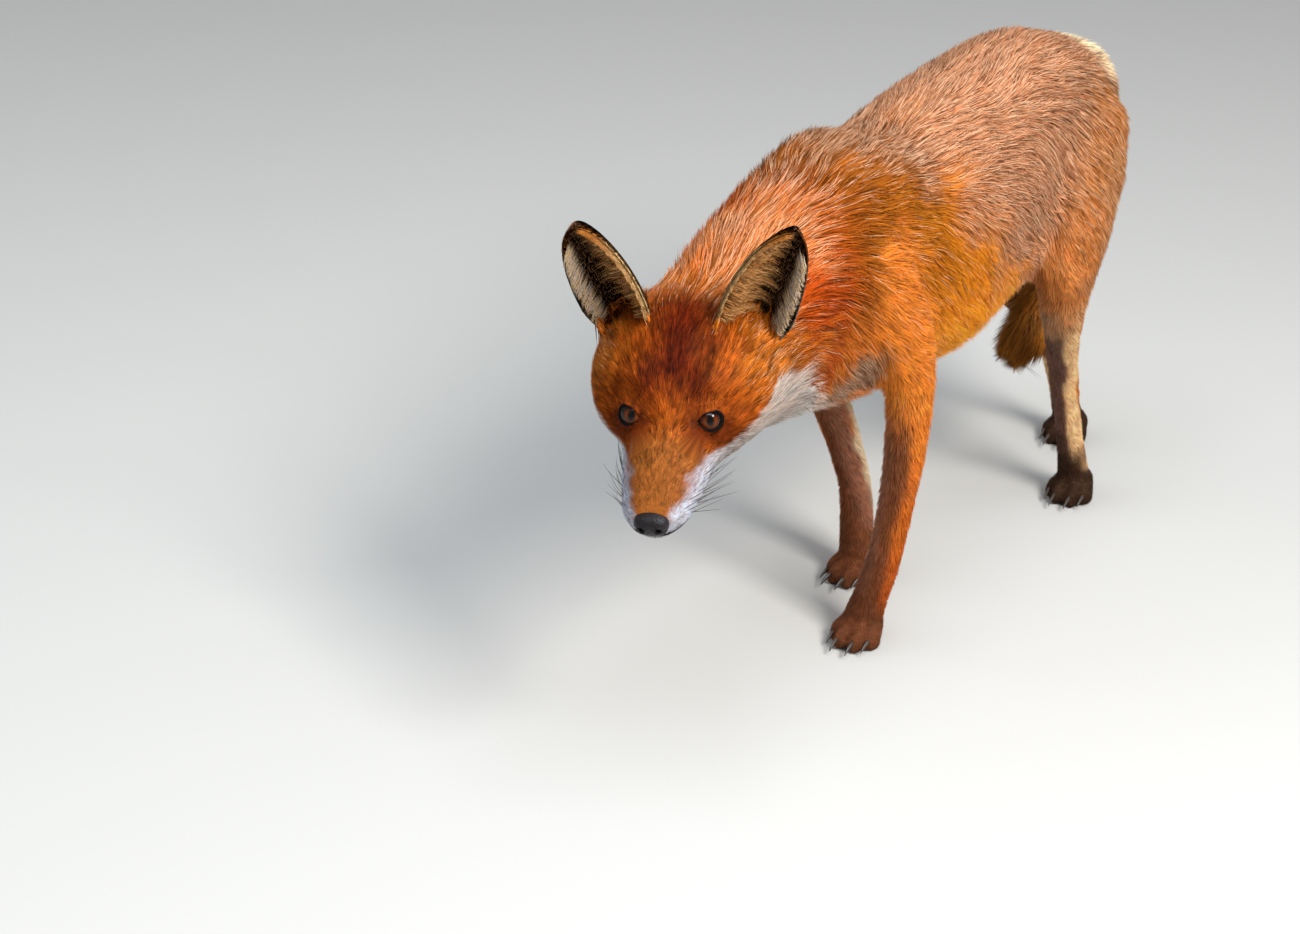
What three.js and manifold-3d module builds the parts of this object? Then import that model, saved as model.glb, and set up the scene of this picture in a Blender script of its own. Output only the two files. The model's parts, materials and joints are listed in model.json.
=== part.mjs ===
// Adult red fox (Vulpes vulpes) in its summer coat, walking slowly, its head low and turned to its left and
// its tail tucked between the hind legs. Millimetres, +Z up. The fox faces -Y, its left side is +X and it
// stands on z = 0. The solids give the outside of the coat. The flesh is made as one joined body and then
// parted by thin cuts into named parts.
import * as THREE from "three";
import { mergeVertices } from "three/addons/utils/BufferGeometryUtils.js";
import Module from "manifold-3d";

const wasm = await Module();
wasm.setup();

// ---------------------------------------------------------------- driving dimensions
const CUT = 0.4; // width of the thin cuts between parts

const WITHERS_Z = 375; // level of the back over the shoulders
const CROUP_Z = 394; // level of the back over the hips
const CHEST_Z = 184; // lowest level of the chest
const TUCK_Z = 205; // level of the belly in front of the thighs
const CHEST_HALF = 67; // half width of the rib cage

const HEAD_AT = [60.6, -284.9, 215.8]; // nose tip
const HEAD_TURN = [21.7, 6.8, 22.6]; // pitch, tilt and turn in degrees
const HEAD_SCALE = 1.03;
const EYE = { at: [22.1, 78, 15], radius: 8.8 }; // left eyeball, in the head's own frame
const NOSE_HALF = [9.8, 8.5, 8];
const EAR_THICK = 3.2;
const EAR_BOW = 20; // depth of the ear's cup

const BALANCE = [6.72, 84.65]; // middle of the box that holds the whole fox, moved to x = y = 0

// Joints of each limb from the body down to the foot.
const JOINTS = {
  fore_left: { shoulder: [44, -18, 302], elbow: [54, 31, 206], wrist: [44, 32, 76], foot: [29, 30, 14] },
  fore_right: { shoulder: [-42, -6, 302], elbow: [-53, 66, 206], wrist: [-33, 112, 78], foot: [-25, 112, 14] },
  hind_left: { hip: [36, 306, 322], knee: [60, 238, 220], hock: [41, 294, 115], foot: [36, 338, 14] },
  hind_right: { hip: [-36, 306, 322], knee: [-53, 314, 199], hock: [-28, 394, 106], foot: [-21, 437, 14] },
};
const PAW_TURN = { fore_left: 5, fore_right: -3, hind_left: 7, hind_right: 5 };

// ---------------------------------------------------------------- solids from geometry
// A closed geometry as a solid that can be joined and cut.
function solid(geometry) {
  const bare = geometry.clone();
  bare.deleteAttribute("normal");
  bare.deleteAttribute("uv");
  const merged = mergeVertices(bare, 1e-3);
  return new wasm.Manifold(
    new wasm.Mesh({
      numProp: 3,
      vertProperties: merged.attributes.position.array,
      triVerts: new Uint32Array(merged.index.array),
    }),
  );
}

function geometryOf(made) {
  const mesh = made.getMesh();
  return new THREE.BufferGeometry()
    .setAttribute("position", new THREE.BufferAttribute(mesh.vertProperties, 3))
    .setIndex(new THREE.BufferAttribute(mesh.triVerts, 1));
}

const join = (solids) => solids.reduce((whole, next) => whole.add(next));

// The largest closed body of a cut solid, without the slivers that a cut may leave.
function largest(made) {
  return made.decompose().reduce((a, b) => (a.volume() > b.volume() ? a : b));
}

// A box between two corners, grown on every side.
function box(low, high, grow = 0) {
  const size = high.map((h, i) => h - low[i] + 2 * grow);
  const middle = high.map((h, i) => (h + low[i]) / 2);
  return solid(new THREE.BoxGeometry(...size).translate(...middle));
}

const ball = (at, radii, around, down) =>
  new THREE.SphereGeometry(1, around, down)
    .rotateX(Math.PI / 2)
    .scale(...radii)
    .translate(...at);

// ---------------------------------------------------------------- lofts
// A row of a table of stations at t from 0 to 1, by Catmull-Rom between the stations.
function stationAt(rows, t) {
  const last = rows.length - 1;
  const i = Math.min(Math.floor(t * last), last - 1);
  const f = t * last - i;
  const row = (k) => rows[Math.min(Math.max(k, 0), last)];
  return rows[0].map((_, c) => {
    const [p0, p1, p2, p3] = [row(i - 1)[c], row(i)[c], row(i + 1)[c], row(i + 2)[c]];
    const bend = 2 * p0 - 5 * p1 + 4 * p2 - p3 + (3 * p1 - p0 - 3 * p2 + p3) * f;
    return p1 + (f * (p2 - p0 + f * bend)) / 2;
  });
}

// A closed skin over rings of equal length, with a point at each end.
function skinOver(rings, poles) {
  const sides = rings[0].length;
  const position = [...rings.flat(), ...poles].flatMap((p) => [p.x, p.y, p.z]);
  const index = [];
  for (let r = 0; r < rings.length - 1; r++) {
    for (let s = 0; s < sides; s++) {
      const next = (s + 1) % sides;
      const [a, b, c, d] = [r * sides + s, r * sides + next, (r + 1) * sides + s, (r + 1) * sides + next];
      index.push(a, c, b, b, c, d);
    }
  }
  const first = rings.length * sides;
  const lastRing = (rings.length - 1) * sides;
  for (let s = 0; s < sides; s++) {
    const next = (s + 1) % sides;
    index.push(first, s, next);
    index.push(first + 1, lastRing + next, lastRing + s);
  }
  return new THREE.BufferGeometry()
    .setAttribute("position", new THREE.Float32BufferAttribute(position, 3))
    .setIndex(index);
}

// A round form through stations of [x, y, z, half width along X, size on the upper or hind side, size on the
// lower or front side, squareness], with domed ends. Its rings stand square to the path of the centres.
const DOME = [0.5, 0.87];
function loft(rows, ringCount, sides, { grow = 0, dome = 0.6 } = {}) {
  const centre = (t) => new THREE.Vector3(...stationAt(rows, t).slice(0, 3));
  const sizes = (t) => {
    const [wide, up, down, square] = stationAt(rows, t).slice(3);
    return [wide + grow, up + grow, down + grow, square];
  };
  const step = 1e-3;
  const frameAt = (t) => {
    const along = centre(Math.min(t + step, 1)).sub(centre(Math.max(t - step, 0))).normalize();
    const across = new THREE.Vector3(1, 0, 0).addScaledVector(along, -along.x).normalize();
    return { along, across, over: new THREE.Vector3().crossVectors(across, along) };
  };
  const reach = (t) => dome * Math.min(...sizes(t).slice(0, 3));
  const ring = (t, shrink, forward) => {
    const [wide, up, down, square] = sizes(t);
    const { along, across, over } = frameAt(t);
    const middle = centre(t).addScaledVector(along, forward * reach(t));
    const round = (v) => Math.sign(v) * Math.abs(v) ** (2 / square) * shrink;
    return Array.from({ length: sides }, (_, s) => {
      const angle = (2 * Math.PI * (s + 0.5)) / sides;
      const [c, h] = [round(Math.cos(angle)), round(Math.sin(angle))];
      return middle
        .clone()
        .addScaledVector(across, wide * c)
        .addScaledVector(over, (h > 0 ? up : down) * h);
    });
  };
  const shrinkAt = (share) => Math.sqrt(1 - share * share);
  const rings = [
    ...[...DOME].reverse().map((share) => ring(0, shrinkAt(share), -share)),
    ...Array.from({ length: ringCount }, (_, r) => ring(r / (ringCount - 1), 1, 0)),
    ...DOME.map((share) => ring(1, shrinkAt(share), share)),
  ];
  const pole = (t, forward) => centre(t).addScaledVector(frameAt(t).along, forward * reach(t));
  return skinOver(rings, [pole(0, -1), pole(1, 1)]);
}

// Soft swellings and hollows: each moves the points inside an ellipsoid of the given radii by push, fading
// to nothing at its edge. A paired one is repeated on the other side of x = 0.
function sculpt(geometry, swellings) {
  const all = swellings.flatMap(({ at, radii, push, paired }) => [
    { at, radii, push },
    ...(paired ? [{ at: [-at[0], at[1], at[2]], radii, push: [-push[0], push[1], push[2]] }] : []),
  ]);
  const places = geometry.attributes.position;
  for (let i = 0; i < places.count; i++) {
    const p = [places.getX(i), places.getY(i), places.getZ(i)];
    const moved = [...p];
    for (const { at, radii, push } of all) {
      const near = 1 - p.reduce((sum, v, k) => sum + ((v - at[k]) / radii[k]) ** 2, 0);
      if (near > 0) push.forEach((d, k) => (moved[k] += d * near * near));
    }
    places.setXYZ(i, ...moved);
  }
  return geometry;
}

// ---------------------------------------------------------------- torso
// Stations of neck and trunk from nape to buttocks: x, y, level of the back, level of the belly, half width,
// and the share of the height, from the belly up, at which it is widest.
const TORSO = [
  [18, -156, 324, 220, 50, 0.52],
  [15, -138, 333, 213, 56, 0.52],
  [10, -112, 345, 207, 59, 0.51],
  [5, -76, 357, 202, 60, 0.5],
  [1, -38, 368, 195, 61, 0.49],
  [0, 6, WITHERS_Z, CHEST_Z + 3, 63, 0.47],
  [0, 56, WITHERS_Z - 6, CHEST_Z, CHEST_HALF, 0.45],
  [0, 110, WITHERS_Z + 3, CHEST_Z + 2, CHEST_HALF + 2, 0.45],
  [0, 168, WITHERS_Z + 14, CHEST_Z + 9, CHEST_HALF, 0.48],
  [0, 226, CROUP_Z, TUCK_Z - 6, CHEST_HALF - 5, 0.52],
  [0, 278, CROUP_Z, TUCK_Z + 4, 57, 0.54],
  [0, 318, CROUP_Z - 14, 246, 50, 0.54],
  [0, 346, 346, 262, 38, 0.5],
];
const torsoRows = TORSO.map(([x, y, top, bottom, wide, widest]) => {
  const middle = bottom + (top - bottom) * widest;
  return [x, y, middle, wide, top - middle, middle - bottom, 2.2];
});
const torso = sculpt(loft(torsoRows, 18, 17), [
  { at: [30, 0, 352], radii: [32, 52, 50], push: [4, 0, 10], paired: true }, // shoulder blades
  { at: [0, 62, 375], radii: [18, 60, 30], push: [0, 0, -3] }, // hollow behind them
  { at: [40, 300, 356], radii: [40, 50, 45], push: [3, 0, 3], paired: true }, // hip bones
  { at: [58, 130, 205], radii: [40, 90, 40], push: [4, 0, -5], paired: true }, // long hair of the lower ribs
]);

// ---------------------------------------------------------------- tail
// The tail leaves the croup, hangs behind the buttocks and swings forward between the hocks.
const TAIL = [
  [0, 334, 344, 17, 17, 18, 2],
  [0, 360, 336, 18, 18, 19, 2],
  [0, 381, 310, 20, 20, 21, 2],
  [0, 388, 274, 21, 21, 22, 2],
  [0, 387, 232, 22, 22, 23, 2],
  [0, 377, 194, 24, 24, 25, 2],
  [-1, 358, 164, 25, 25, 26, 2],
  [-2, 325, 143, 25, 25, 25, 2],
  [-4, 294, 126, 21, 21, 21, 2],
];
const tailSolid = (grow) => solid(loft(TAIL, 10, 9, { grow }));

// ---------------------------------------------------------------- limbs
// Sections of a limb: place along it, counted in joints, half width across, size behind and size in front.
const SECTIONS = {
  fore: [
    [0, 24, 38, 36],
    [0.4, 26, 34, 35],
    [0.75, 24, 25, 29],
    [1, 20, 18, 24],
    [1.25, 17, 15.5, 20.5],
    [1.5, 15, 15, 17.5],
    [1.75, 13.5, 13.5, 14.5],
    [2, 13.2, 14.5, 12.5],
    [2.3, 13.6, 14, 13],
    [2.65, 13.8, 12.5, 14],
    [3, 15.5, 12, 15],
  ],
  hind: [
    [0, 30, 42, 50],
    [0.35, 33, 46, 54],
    [0.7, 29, 41, 44],
    [1, 22.5, 34, 26],
    [1.3, 17.5, 24, 17],
    [1.6, 13.5, 16, 13.5],
    [1.85, 11.5, 13.5, 12],
    [2, 11.5, 14, 12],
    [2.25, 11, 11, 11.5],
    [2.6, 11, 11, 12],
    [3, 14, 12, 14.5],
  ],
};

function limb(name) {
  const joints = Object.values(JOINTS[name]).map((at) => new THREE.Vector3(...at));
  const path = new THREE.CatmullRomCurve3(joints, false, "centripetal");
  const rows = SECTIONS[name.slice(0, 4)].map(([place, ...sizes]) => [
    ...path.getPoint(place / (joints.length - 1)).toArray(),
    ...sizes,
    2,
  ]);
  return solid(loft(rows, 11, 9));
}

// Toes of a paw: middle of the toe from the paw's middle, and half sizes. Claws leave their front ends.
const TOES = [
  { at: [-13.6, -9, 7.4], radii: [6.2, 12, 9.2] },
  { at: [-5.9, -18, 7.8], radii: [6.6, 13, 9.8] },
  { at: [6.1, -18, 7.8], radii: [6.6, 13, 9.8] },
  { at: [13.8, -9, 7.4], radii: [6.2, 12, 9.2] },
];
const CLAW = { length: 12, radius: 1.9, dip: 16 };

const pawMatrix = (name) =>
  new THREE.Matrix4()
    .makeRotationZ(THREE.MathUtils.degToRad(PAW_TURN[name]))
    .setPosition(JOINTS[name].foot[0], JOINTS[name].foot[1], 0);

function paw(name) {
  const palm = ball([0, 3, 11], [16.5, 17, 15], 8, 5);
  const toes = TOES.map(({ at, radii }) => ball(at, radii, 6, 5));
  return join([palm, ...toes].map((made) => solid(made.applyMatrix4(pawMatrix(name)))));
}

// A claw is a flattened cone that points forward and a little down.
function claw(name, { at, radii }, grow = 0) {
  const made = new THREE.ConeGeometry(CLAW.radius + grow, CLAW.length + 3 * grow, 5, 1);
  made.scale(0.75, 1, 1.2).rotateX(Math.PI + THREE.MathUtils.degToRad(CLAW.dip));
  made.translate(at[0], at[1] - radii[1] - 0.1 * CLAW.length, at[2] - 0.6);
  return solid(made.applyMatrix4(pawMatrix(name)));
}

// ---------------------------------------------------------------- head, in its own frame
// The nose tip is the frame's origin, +y leads to the nape and +z to the crown.
// Stations from muzzle to nape: y, level of the middle, half width, size above, size below, squareness.
const SKULL = [
  [5, 0, 12, 7.5, 13, 2.3],
  [14, 0, 15.5, 9.5, 18, 2.4],
  [28, 0, 18, 12, 22, 2.3],
  [44, 0.5, 21, 15, 26, 2.2],
  [58, 1.5, 26, 18.5, 30, 2.2],
  [70, 3, 31.5, 23, 34, 2.2],
  [82, 4, 40.5, 30, 39, 2.1],
  [95, 4, 50, 37.5, 44, 2.05],
  [109, 4, 57, 44, 48, 2],
  [125, 3, 61, 48, 53, 2],
  [143, 2, 60, 50, 57, 2],
  [160, 0, 55, 48, 57, 2],
];
const skull = sculpt(
  loft(
    SKULL.map((row) => [0, ...row.slice(0, 2), ...row.slice(2)]),
    18,
    20,
    { dome: 0.35 },
  ),
  [
    { at: [23, 92, 34], radii: [19, 19, 18], push: [1.5, -1.5, 4], paired: true }, // brows
    { at: [28, 70, 18], radii: [14, 15, 14], push: [-3.5, 3.5, -3], paired: true }, // hollows of the eyes
    { at: [44, 90, 4], radii: [22, 24, 18], push: [4, -2, 0], paired: true }, // cheekbones
    { at: [13, 18, -3], radii: [12, 18, 14], push: [2.8, 0, -1], paired: true }, // whisker pads
    { at: [19, 40, -7], radii: [18, 38, 17], push: [6, 0, -1], paired: true }, // upper lips
    { at: [0, 100, 44], radii: [10, 36, 20], push: [0, 0, -2.5] }, // furrow of the brow
    { at: [58, 132, -26], radii: [34, 36, 42], push: [5, 6, -9], paired: true }, // ruff of the cheeks
  ],
);

// Edges of the left ear from root to tip. Between them the ear is bowed backwards into a cup.
const EAR_TIP = new THREE.Vector3(67, 131, 112);
const EAR_INNER = new THREE.CubicBezierCurve3(
  new THREE.Vector3(19, 126, 40),
  new THREE.Vector3(22, 127, 74),
  new THREE.Vector3(46, 131, 114),
  EAR_TIP,
);
const EAR_OUTER = new THREE.CubicBezierCurve3(
  new THREE.Vector3(57.5, 139, 22),
  new THREE.Vector3(69, 129, 46),
  new THREE.Vector3(82, 129, 99),
  EAR_TIP,
);
const EAR_BACK = new THREE.Vector3(-0.22, 0.96, 0.16).normalize();

// How far each ear leans at its tip, given for a left ear: outward, backward, up.
const EAR_LEAN = { left: new THREE.Vector3(6, 6, 1), right: new THREE.Vector3(-6, 0, 0) };

// A point of the ear: across from 0 at the inner to 1 at the outer edge, up from 0 at the root to 1 at the tip.
function earPoint(across, up, thick) {
  const cup = Math.sin(Math.PI * across) ** 0.8;
  const depth = EAR_BOW * cup * (1 - up) ** 0.45;
  const shell = thick * (0.55 + 0.45 * (1 - up)) * (0.4 + 0.6 * cup);
  return EAR_INNER.getPoint(up).lerp(EAR_OUTER.getPoint(up), across).addScaledVector(EAR_BACK, depth + shell);
}

function ear(lean, acrossCount, upCount) {
  const share = (i) => i / (acrossCount - 1);
  const place = (across, up, thick) => earPoint(across, up, thick).addScaledVector(lean, up);
  const ring = (up) => [
    ...Array.from({ length: acrossCount }, (_, i) => place(share(i), up, EAR_THICK)),
    ...Array.from({ length: acrossCount }, (_, i) => place(1 - share(i), up, 0)),
  ];
  const rings = Array.from({ length: upCount }, (_, r) => ring((0.97 * r) / (upCount - 1)));
  const root = rings[0].reduce((sum, p) => sum.add(p), new THREE.Vector3()).divideScalar(rings[0].length);
  return skinOver(rings, [root, place(0.5, 1, EAR_THICK / 2)]);
}

function mirrored(geometry) {
  const turned = geometry.clone().scale(-1, 1, 1);
  const index = turned.index.array;
  for (let i = 0; i < index.length; i += 3) [index[i + 1], index[i + 2]] = [index[i + 2], index[i + 1]];
  return turned;
}

const headMatrix = new THREE.Matrix4().compose(
  new THREE.Vector3(...HEAD_AT),
  new THREE.Quaternion().setFromEuler(new THREE.Euler(...HEAD_TURN.map(THREE.MathUtils.degToRad), "XYZ")),
  new THREE.Vector3(1, 1, 1).multiplyScalar(HEAD_SCALE),
);
const onHead = (geometry) => solid(geometry.clone().applyMatrix4(headMatrix));

const eyeBall = (side, grow = 0) =>
  onHead(ball([side * EYE.at[0], EYE.at[1], EYE.at[2]], Array(3).fill(EYE.radius + grow), 12, 7));

const NOSTRIL = { at: [5.4, -2.4, -0.6], radii: [1.9, 3.2, 2] };
const nosePad = (grow = 0) => {
  const pad = ball([0, NOSE_HALF[1], -0.5], NOSE_HALF.map((half) => half + grow), 12, 8);
  return onHead(sculpt(pad, [{ at: [0, 6, -9], radii: [14, 12, 6], push: [0, 1.5, 1.5] }]));
};
const nostril = (side) => onHead(ball([side * NOSTRIL.at[0], ...NOSTRIL.at.slice(1)], NOSTRIL.radii, 6, 5));

// ---------------------------------------------------------------- regions that part the body
// Everything beyond a plane, as a slab that starts there.
function beyond(at, direction, { wide = 900, deep = 900 } = {}) {
  const turn = new THREE.Quaternion().setFromUnitVectors(
    new THREE.Vector3(0, 0, 1),
    new THREE.Vector3(...direction).normalize(),
  );
  return (grow) =>
    solid(
      new THREE.BoxGeometry(wide + 2 * grow, wide + 2 * grow, deep)
        .translate(0, 0, deep / 2 - grow)
        .applyQuaternion(turn)
        .translate(...at),
    );
}

// The ear above its root.
const earRegion = (side) => (grow) =>
  onHead(
    new THREE.BoxGeometry(96 + 2 * grow, 80 + 2 * grow, 100 + 2 * grow)
      .translate(0, 0, 50)
      .rotateY(side * THREE.MathUtils.degToRad(27))
      .translate(side * 38, 138, 46),
  );

// Below the line of the closed lips, back to the hinge of the jaw.
const LIPS = { front: [4, -8.5], corner: [70, -18], hinge: [88, -34] };
function jawRegion(grow) {
  const low = -90;
  const outline = [
    [-20, LIPS.front[1] + grow],
    [LIPS.front[0], LIPS.front[1] + grow],
    [LIPS.corner[0] + grow, LIPS.corner[1] + grow],
    [LIPS.hinge[0] + grow, LIPS.hinge[1]],
    [LIPS.hinge[0] + grow, low],
    [-20, low],
  ];
  const shape = new THREE.Shape(outline.map(([y, z]) => new THREE.Vector2(y, z)));
  const slab = new THREE.ExtrudeGeometry(shape, { depth: 160, bevelEnabled: false }).translate(0, 0, -80);
  // The outline is drawn in y and z, so the slab's X, Y and Z become Y, Z and X.
  return onHead(slab.applyMatrix4(new THREE.Matrix4().set(0, 0, 1, 0, 1, 0, 0, 0, 0, 1, 0, 0, 0, 0, 0, 1)));
}

// ---------------------------------------------------------------- the whole body, then its parts
const LIMBS = Object.keys(JOINTS);
const SIDES = { left: 1, right: -1 };
const leftEar = ear(EAR_LEAN.left, 7, 6);
const rightEar = mirrored(ear(EAR_LEAN.right, 7, 6));

let rest = join([
  solid(torso),
  onHead(skull),
  onHead(leftEar),
  onHead(rightEar),
  ...LIMBS.flatMap((name) => [limb(name), paw(name)]),
]).subtract(box([-300, -500, -60], [300, 700, 0]));
rest = rest.subtract(tailSolid(CUT));

const parts = new Map();

// Takes the part inside a region out of the body, leaving a thin cut round it.
function part(name, region) {
  parts.set(name, largest(rest.intersect(region(0))));
  rest = largest(rest.subtract(region(CUT)));
}

for (const [name, side] of Object.entries(SIDES)) {
  rest = rest.subtract(eyeBall(side, CUT));
  parts.set(`eye_${name}`, eyeBall(side));
}
rest = rest.subtract(nosePad(CUT));
parts.set("nose", largest(nosePad().subtract(nostril(1)).subtract(nostril(-1))));
for (const [name, side] of Object.entries(SIDES)) part(`ear_${name}`, earRegion(side));
part("jaw", jawRegion);

const headBack = new THREE.Vector3(0, 146, 0).applyMatrix4(headMatrix).toArray();
const headForward = new THREE.Vector3(0, -1, -0.1).transformDirection(headMatrix).toArray();
part("head", beyond(headBack, headForward, { wide: 220, deep: 220 }));
part("neck", beyond([0, -72, 290], [0.02, -1, 0.22], { wide: 330 }));

// The tail is parted in three lengths.
let tail = tailSolid(0);
for (const [name, at, direction] of [
  ["tail_tip", [0, 366, 160], [0, -0.76, -0.65]],
  ["tail_middle", [0, 404, 262], [0, 0.05, -1]],
]) {
  parts.set(name, largest(tail.intersect(beyond(at, direction)(0))));
  tail = largest(tail.subtract(beyond(at, direction)(CUT)));
}
parts.set("tail_root", tail);

// Each limb is cut across below its joints, and its muscles are cut out of the trunk.
const LEVELS = {
  fore: { forepaw: 58, forearm: 181 },
  hind: { hind_paw: 26, hind_foot: 116, shin: 190 },
};
const MUSCLES = {
  fore: { name: "upper_arm", radii: [52, 70, 96], share: 0.5, out: 34 },
  hind: { name: "thigh", radii: [60, 88, 100], share: 0.45, out: 36 },
};
for (const limbName of LIMBS) {
  const [kind, sideName] = limbName.split("_");
  const side = SIDES[sideName];
  const joints = Object.values(JOINTS[limbName]);
  const ys = joints.map(([, y]) => y);
  const across = side > 0 ? [2, 140] : [-140, -2];
  for (const [name, level] of Object.entries(LEVELS[kind])) {
    const low = [across[0], Math.min(...ys) - 70, -10];
    const high = [across[1], Math.max(...ys) + 50, level];
    part(`${name}_${sideName}`, (grow) => box(low, high, grow));
  }
  const { name, radii, share, out } = MUSCLES[kind];
  const middle = joints[0].map((v, k) => v + (joints[1][k] - v) * share);
  middle[0] += side * out;
  part(`${name}_${sideName}`, (grow) => solid(ball(middle, radii.map((r) => r + grow), 10, 6)));
}

for (const limbName of LIMBS) {
  const [kind, sideName] = limbName.split("_");
  const pawName = `${kind === "fore" ? "forepaw" : "hind_paw"}_${sideName}`;
  TOES.forEach((toe, i) => {
    parts.set(pawName, parts.get(pawName).subtract(claw(limbName, toe, CUT)));
    parts.set(`claw_${limbName}_${i + 1}`, claw(limbName, toe));
  });
}
parts.set("trunk", rest);

// ---------------------------------------------------------------- named meshes
const finish = (color, roughness) => new THREE.MeshStandardMaterial({ color, roughness, metalness: 0 });
const FUR = {
  rust: finish(0xb5561f, 0.85),
  grizzled: finish(0xa0643a, 0.85),
  dark: finish(0x3a2820, 0.85),
};
const HORN = finish(0x2a231f, 0.4);
const LEATHER = finish(0x151417, 0.45);
const EYE_GLASS = finish(0x5a2f10, 0.08);

function materialOf(name) {
  if (name.startsWith("eye_")) return EYE_GLASS;
  if (name.startsWith("claw_")) return HORN;
  if (name === "nose") return LEATHER;
  if (/paw|hind_foot/.test(name)) return FUR.dark;
  if (/trunk|thigh|tail/.test(name)) return FUR.grizzled;
  return FUR.rust;
}

const fox = new THREE.Group();
fox.name = "red_fox";
for (const [name, made] of parts) {
  const mesh = new THREE.Mesh(geometryOf(made), materialOf(name).clone());
  mesh.name = name;
  fox.add(mesh);
}
fox.position.set(-BALANCE[0], -BALANCE[1], 0);
fox.updateMatrixWorld(true);

export default fox;
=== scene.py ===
"""Looks of the life-size red fox: one skin, a coat of solid tufts, eyes, nose, claws and whiskers."""
import json
import math

import bmesh
import bpy
import numpy as np
from mathutils import Matrix, Vector
from mathutils.bvhtree import BVHTree
from mathutils.kdtree import KDTree

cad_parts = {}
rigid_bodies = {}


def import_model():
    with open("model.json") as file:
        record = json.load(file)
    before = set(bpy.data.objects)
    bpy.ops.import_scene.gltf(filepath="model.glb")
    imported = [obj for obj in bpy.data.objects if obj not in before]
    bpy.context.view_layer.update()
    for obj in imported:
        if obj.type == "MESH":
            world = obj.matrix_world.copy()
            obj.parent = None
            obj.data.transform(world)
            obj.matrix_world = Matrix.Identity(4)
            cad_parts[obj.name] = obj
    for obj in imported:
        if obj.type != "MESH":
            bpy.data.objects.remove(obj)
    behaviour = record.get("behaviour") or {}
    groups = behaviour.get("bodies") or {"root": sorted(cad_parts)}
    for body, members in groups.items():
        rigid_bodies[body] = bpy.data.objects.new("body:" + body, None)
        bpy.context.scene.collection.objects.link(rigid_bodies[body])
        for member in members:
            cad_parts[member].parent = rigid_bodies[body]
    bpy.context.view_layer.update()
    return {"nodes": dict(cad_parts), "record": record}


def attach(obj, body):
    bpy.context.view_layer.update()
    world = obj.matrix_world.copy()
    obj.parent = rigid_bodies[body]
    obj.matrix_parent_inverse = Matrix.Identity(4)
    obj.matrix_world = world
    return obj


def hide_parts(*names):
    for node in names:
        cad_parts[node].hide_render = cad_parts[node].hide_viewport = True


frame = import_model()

RNG = np.random.default_rng(20)
SUBPARTS = frame["record"]["subparts"]

# ---------------- sizes, in millimetres
# The fox faces -Y and its left side is +X. BALANCE moves these figures to the row's origin.
MM = 0.001
BALANCE = np.array([6.72, 84.65, 0.0])
HEAD_AT = np.array([60.6, -284.9, 215.8])  # nose tip
HEAD_TURN = (21.7, 6.8, 22.6)  # pitch, tilt and turn in degrees
HEAD_SCALE = 1.03
EYE_AT = np.array([22.1, 78.0, 15.0])  # left eyeball, in the head's own frame
EYE_RADIUS = 8.8
NOSE_AT, NOSE_HALF = np.array([0, 6.8, -1.0]), np.array([10.4, 7.0, 6.9])  # the bare pad, in the head's frame
VOXEL = 2.7  # cell of the skin's remesh
TUFTS = 342000
LOWEST = 0.35  # level of the soles' skin

# x, y, level of the back, level of the belly, half width, share of the height where it is widest
TORSO = np.array([
    (18, -156, 324, 220, 50, 0.52), (15, -138, 333, 213, 56, 0.52), (10, -112, 345, 207, 59, 0.51),
    (5, -76, 357, 202, 60, 0.5), (1, -38, 368, 195, 61, 0.49), (0, 6, 375, 187, 63, 0.47),
    (0, 56, 369, 184, 67, 0.45), (0, 110, 378, 186, 69, 0.45), (0, 168, 389, 193, 67, 0.48),
    (0, 226, 394, 199, 62, 0.52), (0, 278, 394, 209, 57, 0.54), (0, 318, 380, 246, 50, 0.54),
    (0, 346, 346, 262, 38, 0.5),
])
# x, y, z, radius
TAIL = np.array([
    (0, 334, 344, 17), (0, 360, 336, 18), (0, 381, 310, 20), (0, 388, 274, 21), (0, 387, 232, 22),
    (0, 377, 194, 24), (-1, 358, 164, 25), (-2, 325, 143, 25), (-4, 294, 126, 21),
], float)
LIMBS = {
    "fore_left": [(44, -18, 302), (54, 31, 206), (44, 32, 76), (29, 30, 14)],
    "fore_right": [(-42, -6, 302), (-53, 66, 206), (-33, 112, 78), (-25, 112, 14)],
    "hind_left": [(36, 306, 322), (60, 238, 220), (41, 294, 115), (36, 338, 14)],
    "hind_right": [(-36, 306, 322), (-53, 314, 199), (-28, 394, 106), (-21, 437, 14)],
}
# place along the limb in joints, half width, size behind, size in front
SECTIONS = {
    "fore": np.array([(0, 24, 38, 36), (0.75, 24, 25, 29), (1, 20, 18, 24), (1.5, 15, 15, 17.5),
                      (2, 13.2, 14.5, 12.5), (3, 15.5, 12, 15)]),
    "hind": np.array([(0, 30, 42, 50), (0.35, 33, 46, 54), (0.7, 29, 41, 44), (1, 22.5, 34, 26),
                      (1.3, 17.5, 24, 17), (1.6, 13.5, 16, 13.5), (2, 11.5, 14, 12), (3, 14, 12, 14.5)]),
}
PAW_TURN = {"fore_left": 5, "fore_right": -3, "hind_left": 7, "hind_right": 5}
TOES = [(-13.6, -9, 7.4, 12), (-5.9, -18, 7.8, 13), (6.1, -18, 7.8, 13), (13.8, -9, 7.4, 12)]
LIPS = np.array([(4, -8.5), (70, -18)])  # the closed lips: along the head and height


# ---------------- small tools
def smooth(low, high, x):
    """From 0 at low to 1 at high along a soft step; low may be the larger."""
    t = np.clip((x - low) / (high - low), 0, 1)
    return t * t * (3 - 2 * t)


def band(x, start, full, fading, end):
    """1 from full to fading, and 0 before start and after end."""
    return smooth(start, full, x) * smooth(end, fading, x)


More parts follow.
